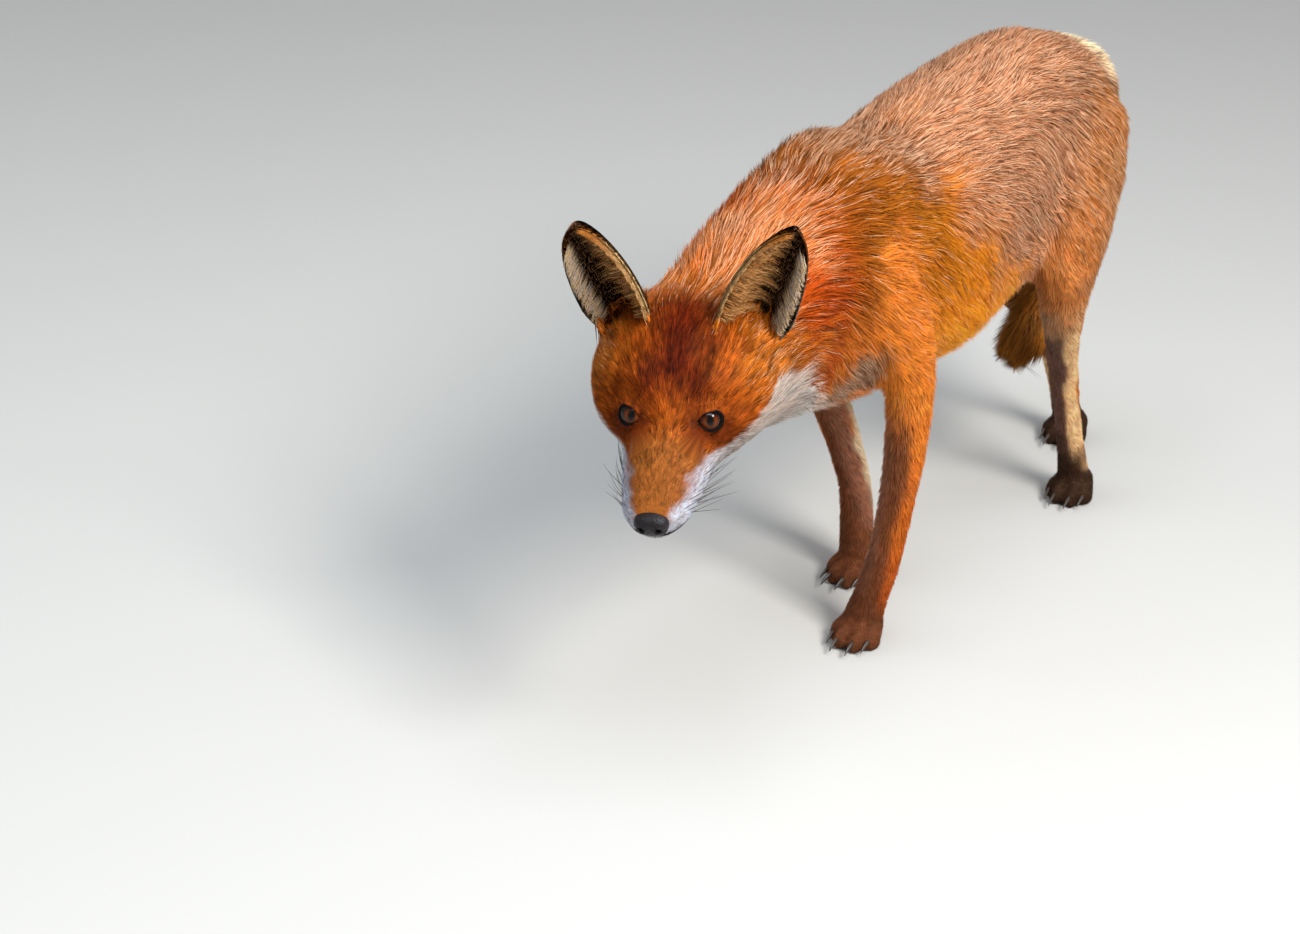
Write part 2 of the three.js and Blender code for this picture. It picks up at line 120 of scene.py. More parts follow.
def bell(*terms):
    """1 where each x is at its middle, and falling off over its width."""
    return np.exp(-sum(((x - middle) / wide) ** 2 for x, middle, wide in terms))


def norm(v):
    return np.linalg.norm(v, axis=-1)


def unit(v):
    return v / np.maximum(norm(v), 1e-9)[..., None]


def mix(a, b, share):
    return a * (1 - share[:, None]) + b * share[:, None]


def noise(p, size, seed):
    """Smooth value noise from 0 to 1 at the points p."""
    q = p / size
    cell = np.floor(q).astype(np.int64)
    f = q - cell
    f = f * f * (3 - 2 * f)
    total = np.zeros(len(p))
    for corner in np.ndindex(2, 2, 2):
        c = cell + corner
        h = (c[:, 0] * 73856093) ^ (c[:, 1] * 19349663) ^ (c[:, 2] * 83492791) ^ (seed * 2654435761)
        h = ((h ^ (h >> 13)) * 1274126177) & 0x7FFFFFFF
        h = (h ^ (h >> 15)) & 0xFFFF
        total += np.prod(np.where(np.array(corner) == 1, f, 1 - f), axis=1) * h / 65535
    return total


def turn(axis, degrees):
    return np.array(Matrix.Rotation(math.radians(degrees), 3, axis))


HEAD_R = turn("X", HEAD_TURN[0]) @ turn("Y", HEAD_TURN[1]) @ turn("Z", HEAD_TURN[2])


def to_head(p):
    return (p - HEAD_AT) @ HEAD_R / HEAD_SCALE


def from_head(h):
    return np.asarray(h, float) * HEAD_SCALE @ HEAD_R.T + HEAD_AT


def spline(a, b, c, d, f):
    """The point f of the way from b to c on the smooth curve through all four."""
    return b + 0.5 * f * (c - a + f * (2 * a - 5 * b + 4 * c - d + f * (3 * (b - c) + d - a)))


def catmull(points, count):
    """Points along a smooth curve, with the place along it counted in given points."""
    points = np.asarray(points, float)
    ends = np.vstack([2 * points[0] - points[1], points, 2 * points[-1] - points[-2]])
    place = np.linspace(0, len(points) - 1, count)
    i = np.minimum(place.astype(int), len(points) - 2)
    return place, spline(*(ends[i + k] for k in range(4)), (place - i)[:, None])


# ---------------- meshes
def add(name, data):
    ob = bpy.data.objects.new(name, data)
    bpy.context.scene.collection.objects.link(ob)
    return ob


def set_place(ob, axes, spot):
    """Puts an object at a spot in metres, with its axes as the columns of a matrix."""
    ob.matrix_world = Matrix([[*row, c] for row, c in zip(axes.tolist(), spot)] + [[0, 0, 0, 1]])


def new_mesh(name, verts, tris, colour=None, uv=None, shading=None):
    """A smooth mesh object from arrays, in millimetres before BALANCE."""
    me = bpy.data.meshes.new(name)
    loops = tris.ravel()
    fill = lambda rows, key, values, kind: rows.foreach_set(key, values.astype(kind).ravel())
    me.vertices.add(len(verts))
    me.loops.add(len(loops))
    me.polygons.add(len(tris))
    fill(me.vertices, "co", (verts - BALANCE) * MM, np.float32)
    fill(me.loops, "vertex_index", loops, np.int32)
    fill(me.polygons, "loop_start", np.arange(0, len(loops), 3), np.int32)
    fill(me.polygons, "use_smooth", np.ones(len(tris)), bool)
    if uv is not None:
        fill(me.uv_layers.new(name="OFBake").uv, "vector", uv[loops], np.float32)
    me.update(calc_edges=True)
    if colour is not None:
        tint = me.color_attributes.new("Tint", "FLOAT_COLOR", "POINT")
        fill(tint.data, "color", np.hstack([colour, np.ones((len(colour), 1))]), np.float32)
    if shading is not None:
        me.normals_split_custom_set_from_vertices(shading.astype(np.float32))
    return add(name, me)


def grid_faces(rows, cols):
    """Triangles of a grid of points whose rows are closed rings that follow each other."""
    r, s = np.meshgrid(np.arange(rows - 1), np.arange(cols), indexing="ij")
    a, b = (r * cols + s).ravel(), (r * cols + (s + 1) % cols).ravel()
    return np.concatenate([np.stack([a, b, b + cols], 1), np.stack([a, b + cols, a + cols], 1)])


def tube(points, radii, sides):
    """A closed tapering tube along points, as vertices and triangles."""
    along = unit(np.gradient(points, axis=0))
    across = unit(np.cross(along, (0.0, 0, 1)))
    over = np.cross(across, along)
    angle = (2 * np.pi * np.arange(sides) / sides)[None, :, None]
    ring = np.cos(angle) * across[:, None] + np.sin(angle) * over[:, None]
    verts = (points[:, None] + ring * radii[:, None, None]).reshape(-1, 3)
    s = np.arange(1, sides - 1)
    first = np.stack([0 * s, s + 1, s], 1)
    last = (len(points) - 1) * sides + np.stack([0 * s, s, s + 1], 1)
    return verts, np.concatenate([grid_faces(len(points), sides), first, last])


def joined(parts):
    """Several (verts, faces) as one."""
    starts = np.cumsum([0] + [len(v) for v, _ in parts[:-1]])
    return np.concatenate([v for v, _ in parts]), np.concatenate([f + s for (_, f), s in zip(parts, starts)])


def vertex_normals(verts, tris):
    a, b, c = (verts[tris[:, k]] for k in range(3))
    face = np.cross(b - a, c - a)
    return unit(np.stack([sum(np.bincount(tris[:, k], face[:, axis], len(verts)) for k in range(3))
                          for axis in range(3)], 1))


def search_tree(verts, tris):
    return BVHTree.FromPolygons([Vector(v) for v in verts], tris.tolist())


# ---------------- where a point lies on the body
PATHS = {}
for limb, joints in LIMBS.items():
    place, centre = catmull(joints, 61)
    rows = SECTIONS[limb[:4]]
    PATHS[limb] = (place, centre, *(np.interp(place, rows[:, 0], rows[:, k]) for k in (1, 2, 3)))
place, centre = catmull(TAIL, 81)
PATHS["tail"] = (place, centre[:, :3], *[centre[:, 3]] * 3)
BLOCK = 20000  # points looked up at one time


def survey(p):
    """Shares of the regions, the place along each limb or the tail, and the lie of the body at points p."""
    n = len(p)
    x, y, z = p.T
    cx, top, bottom, half, widest = (np.interp(y, TORSO[:, 1], TORSO[:, k]) for k in (0, 2, 3, 4, 5))
    mid = bottom + (top - bottom) * widest
    up = (z - mid) / np.where(z > mid, top - mid, mid - bottom)
    side = (x - cx) / half
    past = np.maximum(0, y - 340) / 30
    alongs, measures = [], []
    for place, centre, wide, behind, ahead in PATHS.values():
        nearest = np.concatenate([((p[start:start + BLOCK, None] - centre) ** 2).sum(-1).argmin(1)
                                  for start in range(0, n, BLOCK)])
        along = unit(np.gradient(centre, axis=0))
        across = unit(np.array([1.0, 0, 0]) - along * along[:, :1])
        over = np.cross(across, along)
        off = p - centre[nearest]
        lateral = (off * across[nearest]).sum(1) / wide[nearest]
        rear = (off * over[nearest]).sum(1)
        rear = rear / np.where(rear > 0, behind[nearest], ahead[nearest])
        lengthwise = (off * along[nearest]).sum(1) / wide[nearest]
        alongs.append(along[nearest])
        measures.append((np.sqrt(lateral ** 2 + rear ** 2 + lengthwise ** 2), place[nearest], -rear, lateral))
    reach, places, fronts, outs = np.array(measures).transpose(1, 0, 2)
    share = np.maximum([np.hypot(np.hypot(up, side), past), *reach], 0.2) ** -8.0
    head = to_head(p)
    on_head = 1 - smooth(128, 160, head[:, 1])
    share = share / share.sum(0) * (1 - on_head)
    limb = share[1:5].argmax(0)
    pick = lambda rows: rows[limb, np.arange(n)]
    return {
        "p": p, "head": head, "on_head": on_head, "up": up, "side": side, "share": share.T,
        "place": pick(places), "front": pick(fronts), "out": pick(outs),
        "tail_place": places[4], "tail_front": fronts[4],
        "along": np.array(alongs).transpose(1, 0, 2),
    }


def by_region(s, face, torso, limb, tail):
    """Four measures blended by the regions' shares."""
    share = s["share"]
    return s["on_head"] * face + share[:, 0] * torso + share[:, 1:5].sum(1) * limb + share[:, 5] * tail


def eye_frame(side):
    """The eyeball's middle, and its axes to the inner corner, up and outward, in the head's frame."""
    out = unit(np.array([0.54 * side, -0.64, 0.55]))
    inner = np.array([-0.80 * side, -0.54, 0.16])
    inner = unit(inner - out * (inner @ out))
    up = np.cross(out, inner) * side
    return EYE_AT * (side, 1, 1), inner, up if up[2] > 0 else -up, out


# ---------------- skin
FILLERS = ("nose", "eye_left", "eye_right")  # they close the skin where it is bare
GROWN = 0.6  # each node grows by this, so that the cuts between them close


def remeshed_flesh():
    """One closed mesh from the nose, the eyes and all the nodes of flesh but the ears."""
    whole, me = bmesh.new(), bpy.data.meshes.new("flesh")
    for row in SUBPARTS:
        name = row["node"]
        if row["material_slot"] != "coat" and name not in FILLERS or name.startswith("ear_"):
            continue
        piece = bmesh.new()
        piece.from_mesh(frame["nodes"][name].data)
        bmesh.ops.remove_doubles(piece, verts=piece.verts, dist=1e-5)
        piece.normal_update()
        for v in piece.verts:
            v.co += v.normal * GROWN * MM
        piece.to_mesh(me)
        whole.from_mesh(me)
        piece.free()
    whole.to_mesh(me)
    whole.free()
    ob = add("flesh", me)
    remesh = ob.modifiers.new("Remesh", "REMESH")
    remesh.mode = "VOXEL"
    remesh.voxel_size = VOXEL * MM
    done = bpy.data.meshes.new_from_object(ob.evaluated_get(bpy.context.evaluated_depsgraph_get()))
    done.calc_loop_triangles()
    verts = np.zeros(len(done.vertices) * 3, np.float32)
    tris = np.zeros(len(done.loop_triangles) * 3, np.int32)
    done.vertices.foreach_get("co", verts)
    done.loop_triangles.foreach_get("vertices", tris)
    bpy.data.objects.remove(ob)
    bpy.data.meshes.remove(me)
    bpy.data.meshes.remove(done)
    return largest_shell(verts.reshape(-1, 3).astype(float) / MM + BALANCE, tris.reshape(-1, 3))


def largest_shell(verts, tris):
    label = np.arange(len(verts))
    edges = np.concatenate([tris[:, [0, 1]], tris[:, [1, 2]]])
    before = None
    while before is None or (label != before).any():
        low = np.minimum(label[edges[:, 0]], label[edges[:, 1]])
        before = label.copy()
        np.minimum.at(label, edges[:, 0], low)
        np.minimum.at(label, edges[:, 1], low)
        label = label[label]
    names, counts = np.unique(label, return_counts=True)
    keep = label == names[counts.argmax()]
    return verts[keep], (np.cumsum(keep) - 1)[tris[keep[tris[:, 0]]]]


def relaxed(verts, tris, weight, rounds):
    """Smoothing that keeps the volume (Taubin)."""
    edges = np.concatenate([tris[:, [0, 1]], tris[:, [1, 2]], tris[:, [2, 0]]])
    n = len(verts)
    degree = np.bincount(edges[:, 0], minlength=n)[:, None]
    for step in (0.5, -0.52) * rounds:
        near = np.stack([np.bincount(edges[:, 0], verts[edges[:, 1], k], n) for k in range(3)], 1)
        verts = verts + weight[:, None] * step * (near / degree - verts)
    return verts


def coat_depth(s):
    """How far the skin lies under the tips of the coat."""
    hx, hy, hz = s["head"].T
    cheek = smooth(105, 140, hy) * smooth(25, 55, np.abs(hx) - 0.4 * hz)
    depth = by_region(
        s, 1.0 + 1.4 * smooth(60, 100, hy) + 3.2 * cheek,
        4.6 + 2.4 * smooth(0.2, -0.6, s["up"]) + 2.6 * smooth(40, -60, s["p"][:, 1]),
        np.interp(s["place"], [0, 0.8, 1.3, 2, 2.7, 3], [4.2, 3.4, 2.4, 1.7, 1.5, 1.3]),
        np.interp(s["tail_place"], [0, 1, 2.5, 8], [4.5, 6, 8, 9]))
    return depth * smooth(1.0, 6.0, s["p"][:, 2])


# Rings of a lid: degrees beyond the edge of the opening, height over the eyeball, share of the skin's own
# surface, height over that.
LID_RINGS = np.array([
    (0, 0.05, 0, 0), (2.5, 0.75, 0, 0), (7, 1.15, 0, 0), (12, 1.2, 0, 0), (18, 1.1, 0.12, 0),
    (24, 0.9, 0.3, 0.1), (31, 0.7, 0.6, 0.2), (38, 0.5, 0.85, 0.3), (44, 0.3, 1, 0.2), (50, 0, 1, -1.3),
])
LID_AROUND = 72
LID_REACH = 92  # no ring lies further than this many degrees from the eye's axis
LID_END, LID_FAR = 44, 30  # degrees beyond the opening, and distance from the eyeball, where the skin goes on
BALL_SUNK, LID_SUNK = 1.8, 0.9  # how far the skin lies behind the eyeball's surface and behind the lids
# The edge of the opening over the eyeball: to the inner corner and up.
OPENING = np.array([
    (9.6, 0.2), (7.0, 3.2), (3.7, 4.7), (-0.4, 4.8), (-4.4, 3.5), (-6.4, 0.9), (-5.6, -2.2), (-2.6, -4.5),
    (1.4, -5.1), (5.2, -4.0), (7.9, -2.0),
])


def eye_opening(count):
    """The angle round the opening and the reach of its edge over the ball, for points along it."""
    t = np.arange(count) / count * len(OPENING)
    i = t.astype(int)
    p = spline(*(OPENING[(i + k) % len(OPENING)] for k in (-1, 0, 1, 2)), (t - i)[:, None])
    return np.arctan2(p[:, 1], p[:, 0]), np.degrees(norm(p) / EYE_RADIUS)


def ring_scale(edge):
    return np.minimum(1, (LID_REACH - edge) / LID_RINGS[-1, 0])


def beyond_lids(head, side):
    """Degrees of each point beyond the edge of the lids, seen from the eyeball's middle, and its distance."""
    at, inner, up, out = eye_frame(side)
    off = head - at
    far = np.maximum(norm(off), 1e-6)
    angle = np.degrees(np.arccos(np.clip((off @ out) / far, -1, 1)))
    turned, edge = eye_opening(200)
    edge = np.interp(np.arctan2(off @ up, off @ inner), turned, edge, period=2 * np.pi)
    return (angle - edge) / ring_scale(edge), far


def sunk_at_eyes(verts):
    """The skin drawn in behind the eyeballs and their lids."""
    head = to_head(verts)
    for side in (1, -1):
        beyond, far = beyond_lids(head, side)
        rise, own = (np.interp(beyond, LID_RINGS[:, 0], LID_RINGS[:, k]) for k in (1, 2))
        cover = (1 - own) * (EYE_RADIUS + rise) + own * far
        limit = np.where(beyond < 4, EYE_RADIUS - BALL_SUNK, cover - LID_SUNK)
        short = np.where((beyond < LID_END) & (far < LID_FAR), np.minimum(1, limit / far), 1)
        at = eye_frame(side)[0]
        head = at + (head - at) * short[:, None]
    return from_head(head)


def lids(side):
    """The lids: rings that rise from the edge of the opening and run out into the skin."""
    at, inner, up, out = eye_frame(side)
    turned, edge = eye_opening(LID_AROUND)
    flat = inner * np.cos(turned)[:, None] + up * np.sin(turned)[:, None]
    rings = []
    for degrees, rise, own, over_skin in LID_RINGS:
        bend = np.radians(edge + degrees * ring_scale(edge))[:, None]
        way = out * np.cos(bend) + flat * np.sin(bend)
        far = np.full(LID_AROUND, EYE_RADIUS + rise)
        if own:
            hits = [whole_shell.ray_cast(Vector(from_head(at)), Vector(HEAD_R @ w))[3] for w in way]
            skin = np.array([EYE_RADIUS if h is None else min(h / HEAD_SCALE, EYE_RADIUS + 9) for h in hits])
            far = (1 - own) * far + own * (skin + over_skin)
        for _ in range(2 + int(6 * own)):
            far = (np.roll(far, 1) + 2 * far + np.roll(far, -1)) / 4
        rings.append(at + far[:, None] * way)
    faces = grid_faces(len(rings), LID_AROUND)
    return from_head(np.concatenate(rings)), faces if side > 0 else faces[:, ::-1]


def sunk_at_nose(verts):
    """The skin drawn in behind the bare pad of the nose."""
    off = (to_head(verts) - NOSE_AT) / NOSE_HALF
    gap = np.maximum(norm(off), 1e-6)
    short = np.where(gap < 1.4, np.interp(gap, [0, 0.6, 1.2, 1.4], [0, 0.55, 0.66, 1.4]) / gap, 1)
    return from_head(NOSE_AT + off * short[:, None] * NOSE_HALF)


EAR_TIP = np.array([67.0, 131, 112])
EAR_INNER = np.array([(19, 126, 40), (22, 127, 74), (46, 131, 114), EAR_TIP])
EAR_OUTER = np.array([(57.5, 139, 22), (69, 129, 46), (82, 129, 99), EAR_TIP])
EAR_LEAN = {1: np.array([6.0, 6, 1]), -1: np.array([-6.0, 0, 0])}  # at the tip, as for a left ear
EAR_BACK = unit(np.array([-0.22, 0.96, 0.16]))
EAR_BOW, EAR_THICK = 20, 3.2
EAR_ACROSS, EAR_UP = 25, 34


def bezier(points, t):
    t = t[..., None]
    a, b, c, d = points
    return a * (1 - t) ** 3 + 3 * b * t * (1 - t) ** 2 + 3 * c * t * t * (1 - t) + d * t ** 3


def ear_point(side, across, up, depth):
    """A point of an ear, as if on the left; depth runs from 0 on its inside to 1 on its back."""
    cup = np.sin(np.pi * np.clip(across, 0, 1)) ** 0.8
    bow = EAR_BOW * cup * (1 - up) ** 0.45
    shell = EAR_THICK * (0.55 + 0.45 * (1 - up)) * (0.4 + 0.6 * cup) * (0.15 + 0.7 * depth)
    edge = bezier(EAR_INNER, up) * (1 - across)[..., None] + bezier(EAR_OUTER, up) * across[..., None]
    return edge + EAR_BACK * (bow + shell)[..., None] + EAR_LEAN[side] * up[..., None]


def ear(side):
    """The ear's closed shell, with the place across and up of each vertex, and 0 inside or 1 on its back."""
    share = np.linspace(0.015, 0.985, EAR_ACROSS)
    rise = -0.07 + 1.055 * np.linspace(0, 1, EAR_UP) ** 0.95  # the first rings lie in the head
    across = np.concatenate([share, share[::-1]])[None].repeat(EAR_UP, 0)
    back = np.concatenate([np.ones(EAR_ACROSS), np.zeros(EAR_ACROSS)])[None].repeat(EAR_UP, 0)
    up = rise[:, None].repeat(2 * EAR_ACROSS, 1)
    fold = bell((across, 0.93, 0.05), (up, 0.2, 0.12))  # at the foot of the outer edge
    point = ear_point(side, across, up, back) + (3.0, 1.0, -1.0) * fold[..., None]
    tip = ear_point(side, np.array([0.5]), np.array([0.998]), np.array([0.5]))
    verts = np.concatenate([point.reshape(-1, 3), tip]) * (side, 1, 1)
    last = np.arange((EAR_UP - 1) * 2 * EAR_ACROSS, len(verts) - 1)
    cap = np.stack([last, np.roll(last, -1), np.full(len(last), len(verts) - 1)], 1)
    faces = np.concatenate([grid_faces(EAR_UP, 2 * EAR_ACROSS), cap])
    info = [np.append(values.ravel(), end) for values, end in ((across, 0.5), (up, 1), (back, 0.5))]
    return from_head(verts), faces if side > 0 else faces[:, ::-1], np.stack(info, 1)


def lip_roll(side):
    """The bare dark edge of the lips, from the middle of the muzzle back to the corner of the mouth."""
    line = [(from_head([side * x, -30, LIPS[0, 1]]), HEAD_R @ (0, 1, 0)) for x in np.linspace(0, 8, 5)]
    line += [(from_head([side * 70, y, np.interp(y, *LIPS.T)]), HEAD_R @ (-side, 0, 0))
             for y in np.linspace(7, LIPS[1, 0], 26)]
    hits = [shell.ray_cast(Vector(start), Vector(way))[0] for start, way in line]
    path = np.array([h for h in hits if h is not None])
    for _ in range(3):
        path[1:-1] = (path[:-2] + 2 * path[1:-1] + path[2:]) / 4
    return tube(path, np.interp(np.linspace(0, 1, len(path)), [0, 0.1, 0.9, 1], [1.2, 1.1, 1.0, 0.3]), 8)


verts, tris = remeshed_flesh()
s = survey(verts)
stiff = 1 - 0.55 * s["on_head"] * smooth(100, 60, s["head"][:, 1])
stiff = stiff - 0.45 * (1 - s["on_head"]) * s["share"][:, 1:5].sum(1) * smooth(1.2, 2.2, s["place"])
verts = relaxed(verts, tris, stiff, 30)
verts = verts - vertex_normals(verts, tris) * (coat_depth(survey(verts)) + GROWN)[:, None]
verts[:, 2] = np.maximum(verts[:, 2], LOWEST)
verts = relaxed(verts, tris, stiff, 4)
whole_shell, whole_normals = search_tree(verts, tris), vertex_normals(verts, tris)[tris].mean(1)
verts = sunk_at_nose(sunk_at_eyes(verts))
shell = search_tree(verts, tris)

ears = [ear(1), ear(-1)]
parts = [(verts, tris), lids(1), lids(-1), *(e[:2] for e in ears), lip_roll(1), lip_roll(-1)]
BODY, LIDS, EARS, LIP = 0, (1, 2), (3, 4), 5  # what each number in kind stands for; the lips are 5 and 6
kind = np.concatenate([np.full(len(v), i) for i, (v, _) in enumerate(parts)])
verts, tris = joined(parts)
normals = vertex_normals(verts, tris)
s = survey(verts)
on_ear, on_lid = np.isin(kind, EARS), np.isin(kind, LIDS)
ear_info = np.zeros((len(verts), 3))
ear_info[on_ear] = np.concatenate([e[2] for e in ears])
# the bare dark edge of the lids is widest below and at the outer corner
turned, _ = eye_opening(LID_AROUND)
bare = 3 + 7 * smooth(0.5, -0.6, np.sin(turned)) + 7 * smooth(0.2, -0.9, np.cos(turned))
past_bare = np.zeros(len(verts))
past_bare[on_lid] = np.tile((LID_RINGS[:, :1] - bare).ravel(), 2)
# away from the eye the lids are shaded as the skin around them
around = unit(whole_normals[[whole_shell.find_nearest(Vector(v))[2] for v in verts[on_lid]]])
normals[on_lid] = unit(mix(normals[on_lid], around, smooth(14, 28, past_bare[on_lid])))


# ---------------- the lie of the coat
def lie(s, normals):
    """Unit directions in which the hair lies along the skin."""
    head, share, ones = s["head"], s["share"], np.ones(len(normals))
    hx, hy, hz = head.T
    cheek = smooth(20, 48, np.abs(hx)) * smooth(70, 110, hy)
    low = smooth(8, -30, hz)
    on_face = np.stack([np.tanh(hx / 6) * (0.12 + 0.5 * cheek), ones, -0.3 * low - 0.25 * cheek * low], 1)
    flank = np.minimum(np.abs(s["side"]), 1.2) * band(s["up"], -1.15, -0.7, 0.2, 1.0)
    steep = np.interp(s["p"][:, 1], [-160, -60, 20, 120, 200, 300], [0.5, 1.1, 1.1, 1.0, 1.3, 1.9])
    on_torso = np.stack([0 * ones, ones, -0.08 - flank * steep], 1)
    high = smooth(1.4, 0.4, s["place"])[:, None]
    way = (on_face @ HEAD_R.T) * s["on_head"][:, None] + on_torso * share[:, :1]
    way = way + share[:, 5:6] * s["along"][:, 4]
    for k in range(4):
        way = way + share[:, 1 + k, None] * (s["along"][:, k] + (0, 0.25, 0) + high * (0, 0.7, 0))
    for side in (1, -1):  # around the eyes it lies away from the lids
        at, inner, _, out = eye_frame(side)
        off = head - at
        off = off - out * (off @ out)[:, None]
        far = np.maximum(norm(off), 1e-6)
        near = bell((np.maximum(far, 9), 9, 5)) * (norm(head - at) < LID_FAR)
        way = mix(way, unit(off) @ HEAD_R.T, 0.85 * near * smooth(0.75, 0.1, off @ inner / far))
    return unit(way - normals * (way * normals).sum(1)[:, None])


def lie_of_ear(info, side):
    """From the foot of the ear to its tip, by small steps along it."""
    step = 1e-3
    x, up, back = info.T
    here = ear_point(side, x, up, back)
    there = ear_point(side, x, np.minimum(up + step, 1), back)
    across = ear_point(side, np.minimum(x + step, 1), up, back)
    inside = (info[:, 2:] < 0.5) * smooth(0.8, 0.2, info[:, :1])
    return unit(unit(there - here) + 0.6 * unit(across - here) * inside) * (side, 1, 1) @ HEAD_R.T


way = lie(s, normals)
way[on_ear] = np.concatenate([lie_of_ear(e[2], side) for e, side in zip(ears, (1, -1))])

# ---------------- markings
RUST = np.array([0.37, 0.050, 0.003])
ORANGE = np.array([0.50, 0.130, 0.010])
FLAME = np.array([0.75, 0.180, 0.020])
GOLD = np.array([0.66, 0.190, 0.009])
TAN = np.array([0.55, 0.22, 0.07])
GRIZZLE = np.array([0.50, 0.195, 0.088])
PEACH = np.array([0.88, 0.58, 0.38])
CREAM = np.array([0.76, 0.55, 0.33])
WHITE = np.array([0.64, 0.57, 0.52])
GREY = np.array([0.34, 0.25, 0.19])
UMBER = np.array([0.115, 0.055, 0.030])
DARK = np.array([0.085, 0.027, 0.011])
BLACK = np.array([0.016, 0.011, 0.009])
FACE = np.array([0.25, 0.049, 0.004])
FACE_GOLD = np.array([0.40, 0.110, 0.010])
BROW = np.array([0.15, 0.022, 0.002])
DEEP = np.array([0.075, 0.007, 0.001])
BRIDGE = np.array([0.235, 0.070, 0.012])
# the white of the muzzle in painted shade: dimmed and bluish
SHADED_LIP_WHITE = np.array([0.37, 0.37, 0.42])
EAR_DARK = np.array([0.150, 0.070, 0.030])
EAR_TAN = np.array([0.34, 0.120, 0.022])
EAR_CREAM = np.array([0.62, 0.40, 0.18])
HOLLOW_AT, HOLLOW_SIZE = np.array([50, -42, 236]), np.array([26, 40, 26])


def paint(base, *layers):
    """Colours laid one over the other, each with its share at every point."""
    for colour, share in layers:
        base = mix(base, colour, share)
    return base


def trunk_markings(y, up, side, wob, wide):
    """The trunk's and neck's colour, frost and fleck; y runs to the rear and up goes from -1 to 1."""
    edge = np.interp(y, [-30, 20, 60, 87, 102, 124, 150, 175, 200, 260],
                     [1.2, 1.0, 0.8, 0.6, 0.4, 0.1, -0.15, -0.4, -0.6, -0.9])
    saddle = smooth(edge - 0.5, edge + 0.5, up + 0.6 * wob + 0.5 * wide)
    base = paint(
        ORANGE, (RUST, smooth(-30, -100, y) * smooth(-0.5, 0.2, up + wob)),
        (ORANGE * (1.15, 1.1, 2.0), smooth(-50, -100, y) * smooth(0.6, 0.95, up + 0.5 * wob)),
        (FLAME, band(y, -90, -40, 0, 30) * smooth(0.3, -0.3, up + 0.5 * wob)),
        (GOLD, smooth(-50, 30, y + 50 * wob) * smooth(350, 280, y) * smooth(0.85, 0.25, up + wob + wide)),
        (GRIZZLE, saddle))
    light = (1 - 0.34 * band(y, -80, -50, 40, 80) * smooth(-0.2, 0.3, up)  # shoulder
             + 0.3 * smooth(-80, -115, y) * smooth(0.2, 0.7, up))  # nape
    light = light * (1 + 0.55 * smooth(0.1, -0.5, up) * band(y, 0, 60, 180, 250))  # low flank
    edge = np.interp(y, [-150, -110, -84, -50, 0], [-0.05, -0.4, -0.62, -0.85, -1.0])
    base = paint(
        base * light[:, None],
        (TAN * (0.52, 0.50, 0.7), 0.85 * smooth(210, 280, y) * smooth(1.0, 0.5, up + 0.5 * wob)),
        (CREAM * 1.6, smooth(294, 320, y) * smooth(0.45, 0.8, up + wob) * smooth(0.95, 0.6, np.abs(side))),
        (WHITE, smooth(edge + 0.12, edge - 0.12, up + 0.4 * wob) * smooth(-10, -50, y)),
        (mix(GREY, CREAM, 0.5 + wide), smooth(-0.80, -0.98, up + 0.3 * wob) * smooth(-30, 30, y)))
    frost = 0.05 + 0.40 * saddle + 0.42 * smooth(110, 0, y) * smooth(0.62, 1.0, up + 0.4 * wob)
    return base, frost, 0.07 + 0.26 * saddle + 0.26 * smooth(80, -10, y) * smooth(-0.4, 0.4, up)


def leg_markings(place, front, outward, wob, wide):
    """Colours of a foreleg and a hind leg: darker down the front and on the paws, pale on the inside."""
    inside_rear = -0.6 * outward - 0.45 * front + 0.3 * wob
    outside_rear = 0.6 * outward - 0.45 * front + 0.3 * wob
    stripe = smooth(-0.05, 0.55, front - 0.55 * outward + 0.6 * wob) * smooth(0.85, 1.35, place + 0.3 * wide)
    stripe = np.maximum(stripe, smooth(0.1, -0.4, outward + wob) * smooth(1.4, 2.0, place + 0.3 * wob))
    brown = mix(UMBER * (1.35, 0.95, 0.8), UMBER * (2.3, 2.1, 2.4), smooth(0.2, -0.5, outward))
    pale = smooth(0.30, 0.52, inside_rear) * band(place, 0.6, 0.9, 2.0, 2.4)
    fore_leg = paint(
        FLAME * (1.2, 1.33, 1.5), (RUST * (1.35, 1.9, 4), smooth(1.0, 2.0, place + wide)),
        (brown, 0.9 * stripe), (GREY * 0.3 + CREAM * 0.7, pale),
        (DARK * 1.8, smooth(2.25, 2.85, place + 0.5 * wob + 0.35 * front - 0.15 * outward)))
    fore_leg = fore_leg * np.interp(place, [0, 0.5, 1.0], [0.72, 0.85, 1.0])[:, None]
    hind_leg = paint(TAN, (GRIZZLE, 0.5 * smooth(0.2, 0.8, place)),
                     (ORANGE * 1.25, 0.5 * smooth(-0.1, 0.5, front + wob) * smooth(1.4, 1.0, place)))
    below_knee = smooth(1.1, 1.45, place + 0.3 * wob)
    return fore_leg, paint(
        hind_leg * np.interp(place, [0, 0.3, 0.9], [0.68, 0.72, 1.0])[:, None],
        (CREAM * (1.2, 0.95, 0.75), below_knee), (ORANGE, below_knee * smooth(0.45, 0.65, outside_rear)),
        (UMBER * (1.4, 1.4, 1.8), below_knee * smooth(-0.04, -0.22, outside_rear)),
        (UMBER * 0.4, smooth(2.45, 2.8, place + 0.4 * wob - 0.25 * outside_rear)))


